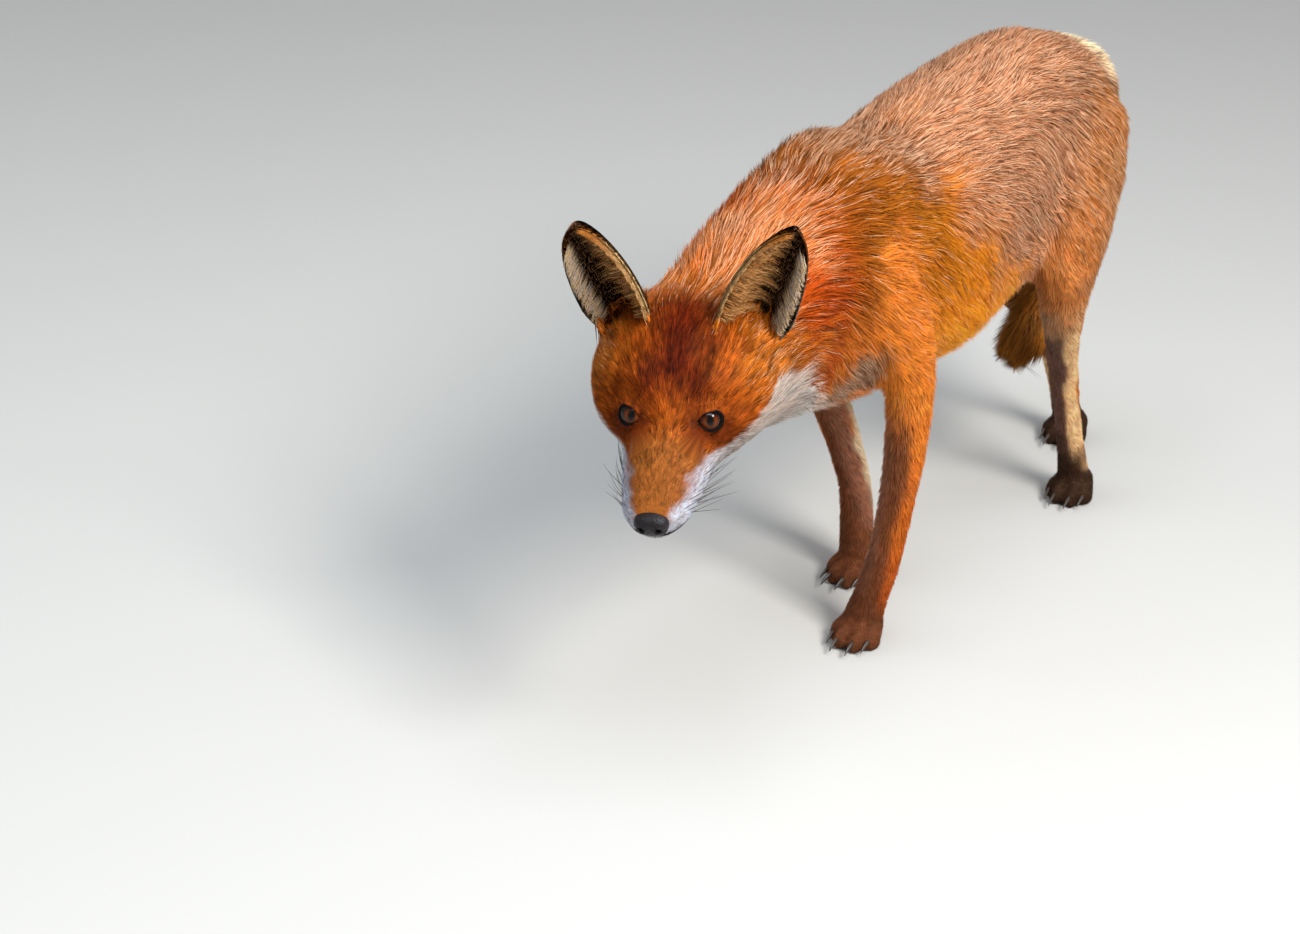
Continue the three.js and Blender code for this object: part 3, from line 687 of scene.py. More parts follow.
def head_markings(head):
    """The head's colour, frost and fleck."""
    hx, hy, hz = head.T
    ax = np.abs(hx)
    wob = noise(head, 7, 8) - 0.5
    grain = noise(head * (1, 0.3, 1), 1.9, 9) - 0.5  # streaks along the head
    streak = smooth(12, 2, ax + 9 * wob) * band(hy, 80, 92, 135, 165) * smooth(15, 30, hz)
    brow = bell((ax, 14, 5.5), (hy, 86, 6)) * smooth(18, 26, hz)
    tear = bell((ax, 15.5, 3.0), (hy, 62, 8)) * smooth(0, 8, hz)
    face = paint(
        FACE, (BROW * 0.8, 0.9 * smooth(30, 14, ax + 14 * wob) * smooth(66, 82, hy)),
        (BRIDGE, smooth(70, 44, hy + 12 * wob)),
        (FACE_GOLD, 0.7 * smooth(26, 42, ax + 12 * wob) * smooth(84, 108, hy) * smooth(-30, 0, hz)),
        (DEEP, 0.85 * np.clip(1.2 * streak, 0, 1)), (DEEP, 0.7 * np.clip(brow * (1.1 + wob), 0, 1)),
        (BROW * 0.7, 0.6 * tear))
    edge = np.interp(hy, [0, 12, 24, 38, 50, 60, 74, 84, 100, 114, 126, 140, 160],
                     [4, 5.5, 5.3, 5.3, 5, 2, -1, 4, 6.5, 8, 1, -11, -38])
    white = smooth(edge + 2.2, edge - 2.2, hz + 5 * wob)
    white = white * np.maximum(smooth(9.0, 11.0, ax + 2 * wob), smooth(2, -4, hz))
    bed = bell((hy, 34, 12), (hz, edge, 4.0)) * smooth(8, 14, ax)  # where the whiskers grow
    mouth = bell((hz, np.interp(hy, *LIPS.T), 1.3)) * band(hy, -4, 2, 68, 76)
    face = paint(
        face * (1 + 1.5 * grain * smooth(10, 60, hy))[:, None],
        # the lower face's white, with painted shade towards the front of the muzzle
        (mix(SHADED_LIP_WHITE, WHITE * (0.64, 0.58, 0.55), smooth(40, 90, hy)), white),
        (DARK * 2.5, 0.6 * np.clip(bed * (0.9 + 0.8 * wob), 0, 1)),
        (GREY, 0.3 * smooth(-14, -20, hz) * smooth(40, 10, hy)), (BLACK, 0.85 * mouth))
    for side in (1, -1):  # bare dark skin drawn out from the inner corner of the eye, and a dark ring round it, partly the fur's own rust and partly painted shade in the eye socket
        at, inner, _, out = eye_frame(side)
        corner = at + inner * 9.5 + out * 3.4 - (0, 1.2, 0)
        below = (head - at) @ (0.07 * side, -0.73, -0.68)
        # the ring is partly painted shade in the eye socket, strongest below the eye
        ring = smooth(24, 12, norm(head - at)) * (0.4 + 0.6 * smooth(-4, 5, below))
        face = paint(face, (BLACK, 0.85 * smooth(4.2, 2.0, norm((head - corner) / (1.3, 1, 1)))),
                     (BROW * (0.62, 0.68, 1), 0.9 * ring))
    crown = smooth(100, 150, hy) * smooth(10, 30, hz)
    cheek = smooth(30, 50, ax) * smooth(90, 110, hy)
    frost = (0.04 * crown + 0.12 * cheek) * (1 - streak)
    return face, frost, 0.07 + 0.2 * streak + 0.2 * brow - 0.05 * white


def markings(f):
    """Base colour of the coat, how far its tips are pale, and how many of its hairs are dark."""
    p, share, place, tail_place = f["p"], f["share"], f["place"], f["tail_place"]
    wob, wide = noise(p, 16, 3) - 0.5, noise(p, 45, 4) - 0.5
    base, frost, fleck = trunk_markings(p[:, 1], f["up"], f["side"], wob, wide)
    hind, tail, limbs = share[:, 3] + share[:, 4], share[:, 5], share[:, 1:5].sum(1)
    outward = f["out"] * np.where(share[:, 1] + share[:, 3] > share[:, 2] + share[:, 4], 1, -1)
    leg = mix(*leg_markings(place, f["front"], outward, wob, wide), hind / (limbs + 1e-6))
    frost = frost * (1 - limbs) + limbs * 0.06 * smooth(1.2, 0.4, place)
    frost = frost + 0.2 * hind * smooth(1.0, 0.3, place)
    fleck = fleck * (1 - limbs) + limbs * 0.10 * smooth(2.5, 1.5, place)
    # the grey hollow in front of each foreleg
    mirrored = np.column_stack([np.abs(p[:, 0]), p[:, 1:]])
    hollow = smooth(1.1, 0.7, norm((mirrored - HOLLOW_AT) / HOLLOW_SIZE) + 0.5 * wob)
    brush = paint(CREAM, (TAN, smooth(1.2, 3.2, tail_place + wob)),
                  (UMBER * (3.2, 2.3, 0.6), smooth(4.6, 6.2, tail_place + 1.2 * wob)))
    frost = (frost + 0.45 * hollow) * (1 - tail) + tail * 0.25 * smooth(5, 1, tail_place)
    fleck = fleck * (1 - tail) + tail * 0.3
    face, face_frost, face_fleck = head_markings(f["head"])
    on_head = f["on_head"]
    base = paint(base, (leg, limbs), (UMBER * 1.3, 0.9 * hollow), (brush, tail), (face, on_head))
    frost = frost * (1 - on_head) + face_frost * on_head
    fleck = fleck * (1 - on_head) + face_fleck * on_head
    return base, np.clip(frost, 0, 1), np.clip(fleck, 0, 0.6)


def ear_markings(info, p):
    """The ear's colours: a hollow darkened with painted shade, pale edges, and a black back."""
    across, up, back = info.T
    wob = noise(p, 5, 12) - 0.5
    inside = paint(
        # painted shade darkens the hollow between the tan inner side and the outer edge, most in a band at
        # 0.66 across
        EAR_DARK * 1.6, (EAR_TAN * 0.9, smooth(0.6, 0.15, across + 0.2 * wob)),
        (EAR_DARK * 1.3, 0.95 * bell((across, 0.66, 0.20))),
        (EAR_TAN * 0.8, 0.8 * smooth(0.84, 0.94, across + 0.04 * wob)),
        # painted shade: the pale outer edge is dimmed to a greyish white
        (WHITE * 0.55, smooth(0.92, 0.98, across + 0.03 * wob) * smooth(0.75, 0.35, up)),
        (EAR_CREAM, smooth(0.09, 0.03, across) * smooth(0.85, 0.5, up)),
        (EAR_DARK * (1.6, 1.3, 1.2), smooth(0.80, 0.97, up)))
    margin = smooth(0.16, 0.05, np.minimum(across, 1 - across)) * smooth(1.0, 0.88, up)
    behind = paint(BLACK * 1.6, (RUST * (0.8, 1.1, 2), smooth(0.42, 0.12, up + 0.2 * wob)),
                   (mix(EAR_TAN, EAR_CREAM, smooth(0.8, 0.5, up)), margin))
    return mix(inside, behind, smooth(0.4, 0.6, back))


base = markings(s)[0]
for i in EARS:
    k = kind == i
    base[k] = ear_markings(ear_info[k], verts[k])
sole = smooth(2.2, 0.8, verts[:, 2])
rim = on_lid * smooth(3.5, -1.0, past_bare)
# painted shade: the skin that shows in the gaps between tufts is darkened from the coat's colour, less on the
# head
skin_colour = mix(base * (0.55 + 0.3 * s["on_head"])[:, None], BLACK * 0.25, rim)
skin_colour[kind >= LIP] = BLACK * 0.9
skin_colour = mix(skin_colour, BLACK, sole)

# ---------------- length, width and number of the tufts
hx, hy, hz = s["head"].T
up, y = s["up"], verts[:, 1]
cheek = smooth(26, 52, np.abs(hx) - 0.35 * hz) * smooth(90, 125, hy)
neck = smooth(30, -60, y)
low_ribs = smooth(0.1, -0.5, up) * band(y, -10, 40, 170, 240)
on_limb = lambda *levels: np.interp(s["place"], [0, 0.8, 1.4, 2.2, 3], levels)
length = by_region(
    s, np.interp(hy, [0, 20, 50, 85, 110, 150], [2.6, 3.6, 5.0, 7.0, 10, 16]) * (1 + 0.8 * cheek),
    17 + 5 * smooth(0.6, 0, up) + 13 * low_ribs + 9 * neck, on_limb(16, 12, 8.5, 6, 4), 26)
width = by_region(
    s, np.interp(hy, [0, 30, 80, 150], [0.48, 0.52, 0.72, 0.9]), 0.95 + 0.1 * neck,
    on_limb(0.9, 0.8, 0.7, 0.62, 0.58), 1.1)
density = by_region(
    s, np.interp(hy, [0, 30, 80, 150], [2.9, 2.6, 1.8, 1.0]), 0.56 - 0.04 * neck,
    on_limb(0.56, 0.6, 0.7, 0.9, 1.1), 0.5)
depth = np.maximum(coat_depth(s), 0.5)
bald = (kind >= LIP) | (on_lid & (past_bare < -2)) | (sole > 0.3) | (on_ear & (ear_info[:, 1] < 0.02))
bald |= norm((s["head"] - NOSE_AT) / NOSE_HALF) < 1.1
under_lids = np.zeros(len(verts), bool)
for side in (1, -1):
    near_eye = norm(s["head"] - eye_frame(side)[0])
    under_lids |= (kind == BODY) & (near_eye < EYE_RADIUS + 7.5) & (beyond_lids(s["head"], side)[0] < 36)
    bald |= on_lid & (near_eye > EYE_RADIUS + 8.6) & (near_eye < 25)
    length = length * (1 - 0.45 * smooth(20, 11, near_eye))
bald |= under_lids
length[on_lid] = np.interp(past_bare[on_lid], [0, 10, 30, 43], [2.0, 3.2, 5.0, 6.5])
depth[on_lid] = np.interp(past_bare[on_lid], [0, 12, 40], [0.4, 0.7, 1.3])
width[on_lid], density[on_lid] = 0.5, 3.4
length[on_ear], width[on_ear], depth[on_ear], density[on_ear] = 4.2, 0.34, 0.6, 1.5
density[bald] = 0


# ---------------- tufts
def chart(f):
    """The name of the coat piece for each root, and its place on an unwrap of the skin's own shape."""
    y = f["p"][:, 1]
    hx, hy, hz = f["head"].T
    limbs = f["share"][:, 1:5]
    limb = limbs.argmax(1)
    across, up, back, on_ear = f["ear"].T
    circle = lambda a, b: np.arctan2(a, b) / (2 * np.pi) + 0.5
    half_circle = lambda a, b: np.arctan2(a, np.abs(b)) / np.pi + 0.5
    at = [y < -20, y < 130]
    low, high = np.select(at, [-175, -20], 130), np.select(at, [-20, 130], 375)
    left, name = f["side"] > 0, np.select(at, ["neck", "ribs"], "flank")
    u, v = half_circle(f["up"], f["side"]), (y - low) / (high - low)
    for on, part, part_u, part_v, part_left in (
            (limbs.sum(1) > 0.5, np.where(limb < 2, "foreleg", "hindleg"), circle(f["front"], f["out"]),
             f["place"] / 3, limb % 2 == 0),
            (f["share"][:, 5] > 0.5, "tail", circle(f["tail_front"], f["p"][:, 0] / 22),
             f["tail_place"] / 8, left),
            (f["on_head"] > 0.5, "head", half_circle(hz - 2, hx), hy / 160, hx > 0),
            (on_ear > 0.5, "ears", across * 0.47 + 0.01 + 0.5 * (back > 0.5),
             up * 0.47 + 0.01 + 0.5 * (hx < 0), left)):
        name, left = np.where(on, part, name), np.where(on, part_left, left)
        u, v = np.where(on, part_u, u), np.where(on, part_v, v)
    sided = np.char.add(name, np.where(left, "_left", "_right"))
    return np.where(np.isin(name, ("tail", "ears")), name, sided), np.stack([u, v], 1)


LOCK_FACES = np.array([(0, 2, 1), (0, 1, 3), (2, 0, 3), (1, 2, 3)])
LONG_FACES = np.array([(0, 2, 1), (0, 1, 3), (0, 3, 2), (1, 2, 5), (1, 5, 4), (3, 1, 4), (3, 4, 6),
                       (2, 3, 6), (2, 6, 5), (7, 4, 5), (7, 6, 4), (7, 5, 6)])
PATCH = 0.0015  # half of a tuft's patch on the map
ROOT_SUNK, LONG_ROOT_SUNK = 0.5, 0.7  # how far the foot of a tuft lies in the skin


def packed(faces, points, tints, maps, *more):
    """Vertices, faces, colours and map places of many tufts, from lists with a row for each point of one."""
    pack = lambda rows: np.stack(rows, 1).reshape(-1, rows[0].shape[1])
    index = (np.arange(len(points[0]))[:, None, None] * len(points) + faces).reshape(-1, 3)
    return (pack(points), index, np.clip(pack(tints), 0, 0.95), np.clip(pack(maps), 0.0005, 0.9995),
            *(pack(rows) for rows in more))


def build_tufts(root, normal, way, width, tip, tip_normal, colours, uv):
    """Closed tufts with normals: thin pyramids from a foot of three."""
    across = unit(np.cross(way, normal))
    w = width[:, None] / 2
    foot = root - normal * ROOT_SUNK
    return packed(
        LOCK_FACES, [foot + across * w, foot - across * w, foot + normal * w * 1.1, tip],
        [colours[0]] * 3 + [colours[1]],
        [uv + (PATCH, -PATCH), uv + (-PATCH, -PATCH), uv + (0, -0.4 * PATCH), uv + (0, PATCH)],
        [unit(normal + across * 0.7), unit(normal - across * 0.7), normal, unit(tip_normal + way * 0.15)])


def build_bent_tufts(root, normal, width, rise, tip, colour, uv):
    """Closed tufts for long hairs: a point, two rings of three, a point."""
    across = unit(np.cross(unit(tip - root), normal))
    w = width[:, None] / 2
    points, maps = [root - normal * LONG_ROOT_SUNK], [uv + (0, -PATCH)]
    for j, (share, height, girth) in enumerate([(0.25, 0.60, 0.85), (0.62, 1.0, 0.8)]):
        line = (tip - root) * share
        middle = root + line + (rise * height - (line * normal).sum(1))[:, None] * normal
        for dx, dn in ((1, -0.15), (-1, -0.15), (0, 0.5)):
            points.append(middle + across * w * girth * dx + normal * w * dn)
            maps.append(uv + (dx * PATCH, (j + 1) * PATCH / 3))
    return packed(LONG_FACES, points + [tip], [colour * 0.55] + [colour] * 6 + [colour * 1.1],
                  maps + [uv + (0, PATCH)])


a, b, c = (verts[tris[:, k]] for k in range(3))
area = norm(np.cross(b - a, c - a)) / 2
face_density = np.where(bald[tris].any(1), 0, density[tris].mean(1))
count = TUFTS
running = np.cumsum(area * face_density)
face = np.searchsorted(running, (np.arange(count) + RNG.random(count)) / count * running[-1])
r1, r2 = np.sqrt(RNG.random(count)), RNG.random(count)
bary = np.stack([1 - r1, r1 * (1 - r2), r1 * r2], 1)
at_root = lambda field: sum(field[tris[face, k]] * bary[:, k].reshape((-1,) + (1,) * (field.ndim - 1))
                            for k in range(3))
f = {key: at_root(values) for key, values in s.items() if key != "along"}
f["ear"] = at_root(np.hstack([ear_info, on_ear[:, None]]))
root, normal, lay = f["p"], unit(at_root(normals)), at_root(way)
tuft_length, tuft_width, tuft_depth = at_root(length), at_root(width), at_root(depth)
in_ear = f["ear"][:, 3] > 0.5
print("tufts wanted", int(running[-1]), "made", count)

# neighbours lean together into locks
clump_share = np.interp(tuft_length, [4, 10, 20], [0.10, 0.16, 0.12])
leaders = np.flatnonzero(RNG.random(count) < clump_share)
tree = KDTree(len(leaders))
for i, k in enumerate(leaders):
    tree.insert(root[k], i)
tree.balance()
leader = leaders[[tree.find(v)[1] for v in root]]
clump, clump_b = RNG.random(count)[leader], RNG.random(count)[leader]  # one draw for each lock
own = RNG.random(count)

swirl = ((noise(root, 26, 31) - 0.5) * 0.8 + (noise(root, 9, 32) - 0.5) * 0.55 + (clump - 0.5) * 0.45
         + (own - 0.5) * 0.25)
swirl = (swirl * np.where(f["on_head"] > 0.5, 0.7, 1.0) * (1 - 0.8 * f["ear"][:, 3]))[:, None]
lay = unit(lay * np.cos(swirl) + np.cross(normal, lay) * np.sin(swirl))
lay = unit(lay - normal * (lay * normal).sum(1)[:, None])
tuft_length = tuft_length * (0.72 + 0.5 * RNG.random(count)) * (0.85 + 0.3 * clump_b)
tip_rise = tuft_depth * (0.58 + 0.6 * RNG.random(count) + 0.4 * (clump_b - 0.5))
tip = root + lay * tuft_length[:, None]
tip = mix(tip, tip[leader], np.interp(tuft_length, [3, 8, 18], [0.05, 0.16, 0.3]))
everything = search_tree(verts, tris[~under_lids[tris].any(1)])
near_point, near_normal = (np.array(rows) for rows in zip(*(everything.find_nearest(v)[:2] for v in tip)))
near_point[in_ear], near_normal[in_ear] = tip[in_ear], normal[in_ear]
k = at_root(on_lid) > 0.5
near_normal[k] = normal[k]
tip = near_point + near_normal * tip_rise[:, None]

base, frost, fleck = markings(f)
base[in_ear] = ear_markings(f["ear"][in_ear, :3], root[in_ear])
frost[in_ear], fleck[in_ear] = 0.03, 0.0
tone = np.where(in_ear, 0.9 + 0.3 * own, 0.70 + 0.54 * clump + (0.36 + 0.5 * f["on_head"]) * (own - 0.5))
hue = 1 + 0.22 * (clump_b - 0.5)
shade = base * tone[:, None] * np.stack([np.ones(count), hue, hue ** 1.5], 1)
dark = RNG.random(count) < fleck * (0.5 + clump)
shade[dark] = shade[dark] * 0.32
pale = (RNG.random(count) < frost * (0.6 + 0.8 * clump)) & ~dark
tip_colour = np.where(pale[:, None], mix(shade, PEACH, 0.35 + 0.4 * own), shade * 1.12)
piece, uv = chart(f)
uv = np.clip(uv, 0.003, 0.997)

coat_pieces = []
for name in sorted(set(piece.tolist())):
    k = piece == name
    print("coat", name, k.sum())
    made = build_tufts(root[k], normal[k], lay[k], tuft_width[k], tip[k], near_normal[k],
                       [shade[k] * 0.62, tip_colour[k]], uv[k])
    coat_pieces.append(new_mesh("coat_" + name, *made))


# ---------------- long hairs of the ears
EAR_HAIRS, EAR_FOOT_HAIRS, EAR_FOOT_LENGTH = 3000, 1100, 15


def ear_hairs(side):
    """Hairs that grow in from the edges of the ear's hollow."""
    count = EAR_HAIRS
    flip, zero = (side, 1, 1), np.zeros(count)
    across, up = 0.02 + 0.40 * RNG.random(count) ** 1.4, 0.04 + 0.84 * RNG.random(count)
    sort = RNG.random(count)
    fringe, margin = sort < 0.16, sort > 0.78  # along the outer and the inner edge
    across = np.where(fringe, 0.90 + 0.085 * RNG.random(count), across)
    across = np.where(margin, 0.004 + 0.018 * RNG.random(count), across)
    up = np.where(fringe, up * 0.75, up)
    start = ear_point(side, across, up, zero)
    # neighbours gather into locks
    lock = noise(np.stack([across * 8, up * 95, zero + 3.0 * side], 1), 2.2, 41)
    reach = np.where(fringe, -0.14, 0.10 + 0.26 * lock) * (0.6 + 0.7 * RNG.random(count))
    climb = np.where(fringe, 0.12, 0.08 * (lock - 0.35)) * RNG.random(count)
    reach, climb = np.where(margin, 0.04 * lock, reach), np.where(margin, 0.05 + 0.04 * lock, climb)
    lift = (1.0 + 2.6 * RNG.random(count)) * np.where(fringe, 0.5, 1)
    end = ear_point(side, np.clip(across + reach, 0.01, 0.99), np.clip(up + climb, 0.02, 0.97), zero)
    end = end - EAR_BACK * lift[:, None]
    tone = RNG.random(count)
    colour = mix(EAR_TAN, EAR_CREAM, 0.75 * lock * tone)
    colour[tone < 0.20] = EAR_DARK * 1.2
    colour = mix(colour, EAR_DARK * 1.4, smooth(0.7, 0.9, up))
    # painted shade: the white of the outer fringe is dimmed to a greyish white
    colour[fringe] = mix(EAR_CREAM, WHITE * 0.6, tone[fringe])
    edging = mix(EAR_TAN, EAR_CREAM, smooth(0.8, 0.4, up) * (0.3 + 0.7 * tone))
    colour = np.where(margin[:, None], edging * (0.6 + 0.4 * tone)[:, None], colour)
    normal = (-EAR_BACK * flip @ HEAD_R.T)[None].repeat(count, 0)
    uv = np.stack([across * 0.47 + 0.01, up * 0.47 + 0.01 + 0.5 * (side < 0)], 1)
    return build_bent_tufts(from_head(start * flip), normal, np.where(margin | fringe, 0.36, 0.5), lift * 1.2,
                            from_head(end * flip), colour, uv)


def ear_foot_hairs(side):
    """Tufts of the head that stand up against the foot of the ear and hide where it begins."""
    count = EAR_FOOT_HAIRS
    flip, zero = (side, 1, 1), np.zeros(count)
    across = -0.06 + 1.14 * RNG.random(count)
    ahead = 1.5 + 8.5 * RNG.random(count)
    lock = noise(np.stack([across * 40, ahead, zero + 9.0 * side], 1), 3.0, 51)
    own = RNG.random(count)
    foot = ear_point(side, across, zero, zero) - EAR_BACK * ahead[:, None]
    start, normal = (np.array(rows) for rows in zip(*(
        shell.find_nearest(Vector(v))[:2] for v in from_head(foot * flip))))
    climb = 0.03 + 0.13 * lock * (0.6 + 0.8 * own)
    end = ear_point(side, np.clip(across, 0.02, 0.98) - 0.05 * smooth(0.7, 1.0, across), climb, zero)
    end = from_head((end - EAR_BACK * (1.0 + 0.35 * ahead * own)[:, None]) * flip)
    reach = norm(end - start)
    end = start + (end - start) * (np.minimum(reach, EAR_FOOT_LENGTH) / reach)[:, None]
    shadow = bell((across, 0.45, 0.22)) * (own < 0.55)
    colour = paint(FACE_GOLD, (ORANGE, lock), (EAR_DARK * 1.3, 0.8 * shadow),
                   (EAR_CREAM, smooth(0.80, 0.92, across) * (own > 0.45) * smooth(7, 3, ahead)))
    uv = np.stack([0.03 + 0.43 * np.clip(across, 0, 1), 0.006 + 0.004 * own + 0.5 * (side < 0)], 1)
    return build_bent_tufts(start, normal, zero + 0.75, 0.10 * reach, end,
                            colour * (0.75 + 0.5 * lock)[:, None], uv)


for name, hairs_of in (("coat_ear_fringe", ear_hairs), ("coat_ear_feet", ear_foot_hairs)):
    made = [hairs_of(1), hairs_of(-1)]
    tint, maps = (np.concatenate([m[k] for m in made]) for k in (2, 3))
    coat_pieces.append(new_mesh(name, *joined([m[:2] for m in made]), tint, maps))


# ---------------- nose
def nose_pad():
    """The bare pad, with its nostrils, their slits and the groove between them."""
    around, down = 96, 64
    u = 2 * np.pi * np.arange(around) / around
    w = (np.pi * (np.arange(down) + 0.5) / down)[:, None]
    ball = np.stack([np.sin(w) * np.sin(u), -np.sin(w) * np.cos(u), np.cos(w) + 0 * u], -1)
    boxy = (np.abs(ball) ** 2.5).sum(-1, keepdims=True) ** (1 / 2.5)
    p = (ball / boxy * NOSE_HALF + NOSE_AT).reshape(-1, 3)
    x, y, z = p.T.copy()
    ax = np.abs(x)
    front = smooth(9, 4, y)
    hole = np.hypot((ax - 5.0) / 2.3, (z + 0.6) / 2.1)
    slit = bell((z + 1.9 + 0.25 * (ax - 6), 0, 0.8)) * smooth(5.2, 7.0, ax) * smooth(10, 6, y)
    groove = bell((x, 0, 0.55)) * smooth(1.5, -2, z) * front
    rim = bell((hole, 1.15, 0.28))
    p[:, 1] += front * (4.2 * smooth(1.0, 0.35, hole) - 0.55 * rim) + 1.5 * slit + 0.9 * groove
    p[:, 2] += 0.25 * slit
    k = np.arange(around)
    after, last, top = (k + 1) % around, len(p) - around, np.full(around, len(p))
    faces = np.concatenate([grid_faces(down, around), np.stack([k, after, top], 1),
                            np.stack([last + after, last + k, top + 1], 1)])
    return from_head(np.vstack([p, p[:around].mean(0), p[-around:].mean(0)])), faces[:, ::-1]


# ---------------- eyes
GAZE = {1: unit(np.array([0.34, -0.73, 0.60])), -1: unit(np.array([-0.02, -0.78, 0.62]))}
CORNEA, CORNEA_RISE, BALL_BACK = 6.4, 0.75, 0.3  # its radius from the front, its height, the ball's shift


def eyeball(side):
    """A ball with its cornea, whose own Z is the way it looks and whose own Y is up."""
    at, _, up, _ = eye_frame(side)
    bm = bmesh.new()
    bmesh.ops.create_uvsphere(bm, u_segments=48, v_segments=36, radius=EYE_RADIUS * HEAD_SCALE * MM)
    for v in bm.verts:
        r = math.hypot(v.co.x, v.co.y) / MM
        if v.co.z > 0 and r < CORNEA:
            v.co.z += CORNEA_RISE * MM * (1 - (r / CORNEA) ** 2)
        v.co.z -= BALL_BACK * MM
    name = "eyeball_left" if side > 0 else "eyeball_right"
    me = bpy.data.meshes.new(name)
    bm.to_mesh(me)
    bm.free()
    me.polygons.foreach_set("use_smooth", np.ones(len(me.polygons), bool))
    ob = add(name, me)
    z, y = HEAD_R @ GAZE[side], HEAD_R @ up
    y = unit(y - z * (y @ z))
    set_place(ob, np.stack([np.cross(y, z), y, z], 1), (from_head(at) - BALANCE) * MM)
    return ob


# ---------------- claws and whiskers
def claws(limb):
    made = []
    turn_z = turn("Z", PAW_TURN[limb])
    foot = np.array([*LIMBS[limb][3][:2], 0])
    t = np.linspace(0, 1, 9)
    for x, y, z, long in TOES:
        path = (x, y - long + 4.6, z + 0.9) + np.stack([0 * t, -12.2 * t, -1.2 * t - 3.4 * t ** 2], 1)
        v, faces = tube(path, 1.85 * (1 - t) ** 0.6 + 0.12, 8)
        middle = path.repeat(8, 0)
        made.append(((middle + (v - middle) * (0.72, 1, 1.1)) @ turn_z.T + foot, faces))
    return joined(made)


def whiskers():
    made = []
    t = np.linspace(0, 1, 12)[:, None]
    for side in (1, -1):
        for row, (z, count) in enumerate(((1.5, 4), (-1.5, 5), (-4.5, 5), (-7, 3))):
            for i in range(count):
                y = 17 + 7.5 * i + 2 * row
                spot = shell.ray_cast(Vector(from_head([side * 60, y, z])), Vector(HEAD_R @ (-side, 0, 0)))[0]
                if spot is None:
                    continue
                way = unit(np.array([side * (0.62 - 0.07 * i), 0.72 + 0.06 * i, -0.22 - 0.10 * row]))
                way = unit(way + RNG.normal(0, 0.07, 3))
                long = (30 + 7 * min(i, 3)) * (0.8 + 0.35 * RNG.random())
                droop = np.array([side * -0.10, 0.12, -0.16]) * long * t ** 2
                path = np.array(spot) + (way * (long * t - 0.8) + droop) @ HEAD_R.T
                made.append(tube(path, 0.22 * (1 - t[:, 0]) ** 0.7 + 0.035, 4))
    return joined(made)


# ---------------- materials
class Finish:
    """A material, and what adds to its nodes."""

    def __init__(self, name, **sockets):
        self.mat = bpy.data.materials.new(name)
        self.mat.use_nodes = True
        self.tree = self.mat.node_tree
        self.shader = self.tree.nodes["Principled BSDF"]
        self.fill(self.shader, sockets)

    def fill(self, node, values):
        """Sets a node's own settings and its sockets, each to a number or to another node's output."""
        for key, value in values.items():
            socket = key if isinstance(key, int) else key.replace("_", " ")
            if isinstance(key, str) and socket not in node.inputs:
                setattr(node, key, value)
            elif isinstance(value, bpy.types.NodeSocket):
                self.tree.links.new(value, node.inputs[socket])
            else:
                node.inputs[socket].default_value = value

    def add(self, kind, *inputs, **named):
        """The first output of a new node."""
        made = self.tree.nodes.new("ShaderNode" + kind)
        self.fill(made, {**named, **dict(enumerate(inputs))})
        return made.outputs[0]

    def math(self, operation, *inputs):
        return self.add("Math", *inputs, operation=operation)

    def place(self):
        return self.add("TexCoord").node.outputs["Object"]

    def ramp(self, factor, first, last, *between):
        """A colour ramp; between gives the place and colour of more stops."""
        made = self.add("ValToRGB", Fac=factor)
        stops = made.node.color_ramp.elements
        stops[0].color, stops[1].color = (*first, 1), (*last, 1)
        for where, colour in between:
            stops.new(where).color = (*colour, 1)
        return made

    def relief(self, height, strength, distance):
        bump = self.add("Bump", Strength=strength, Distance=distance, Height=height)
        self.fill(self.shader, {"Normal": bump})


def tinted(name, low, high, scale, **sockets):
    """A finish that takes its markings from the Tint colours, with fine mottling; also the mottling."""
    made = Finish(name, **sockets)
    grain = made.add("TexNoise", Vector=made.place(), Scale=scale, Detail=3.0)
    ramp = made.add("MapRange", Value=grain, To_Min=low, To_Max=high)
    tint = made.add("Attribute", attribute_name="Tint")
    made.fill(made.shader, {"Base Color": made.add("VectorMath", tint, operation="SCALE", Scale=ramp)})
    return made, grain


def mottled(name, texture, scale, low, high, strength, distance, **sockets):
    """A finish whose colour and relief follow one fine texture."""
    made = Finish(name, **sockets)
    grain = made.add(texture, Vector=made.place(), Scale=scale)
    made.fill(made.shader, {"Base Color": made.ramp(grain, low, high)})
    made.relief(grain, strength, distance)
    return made.mat


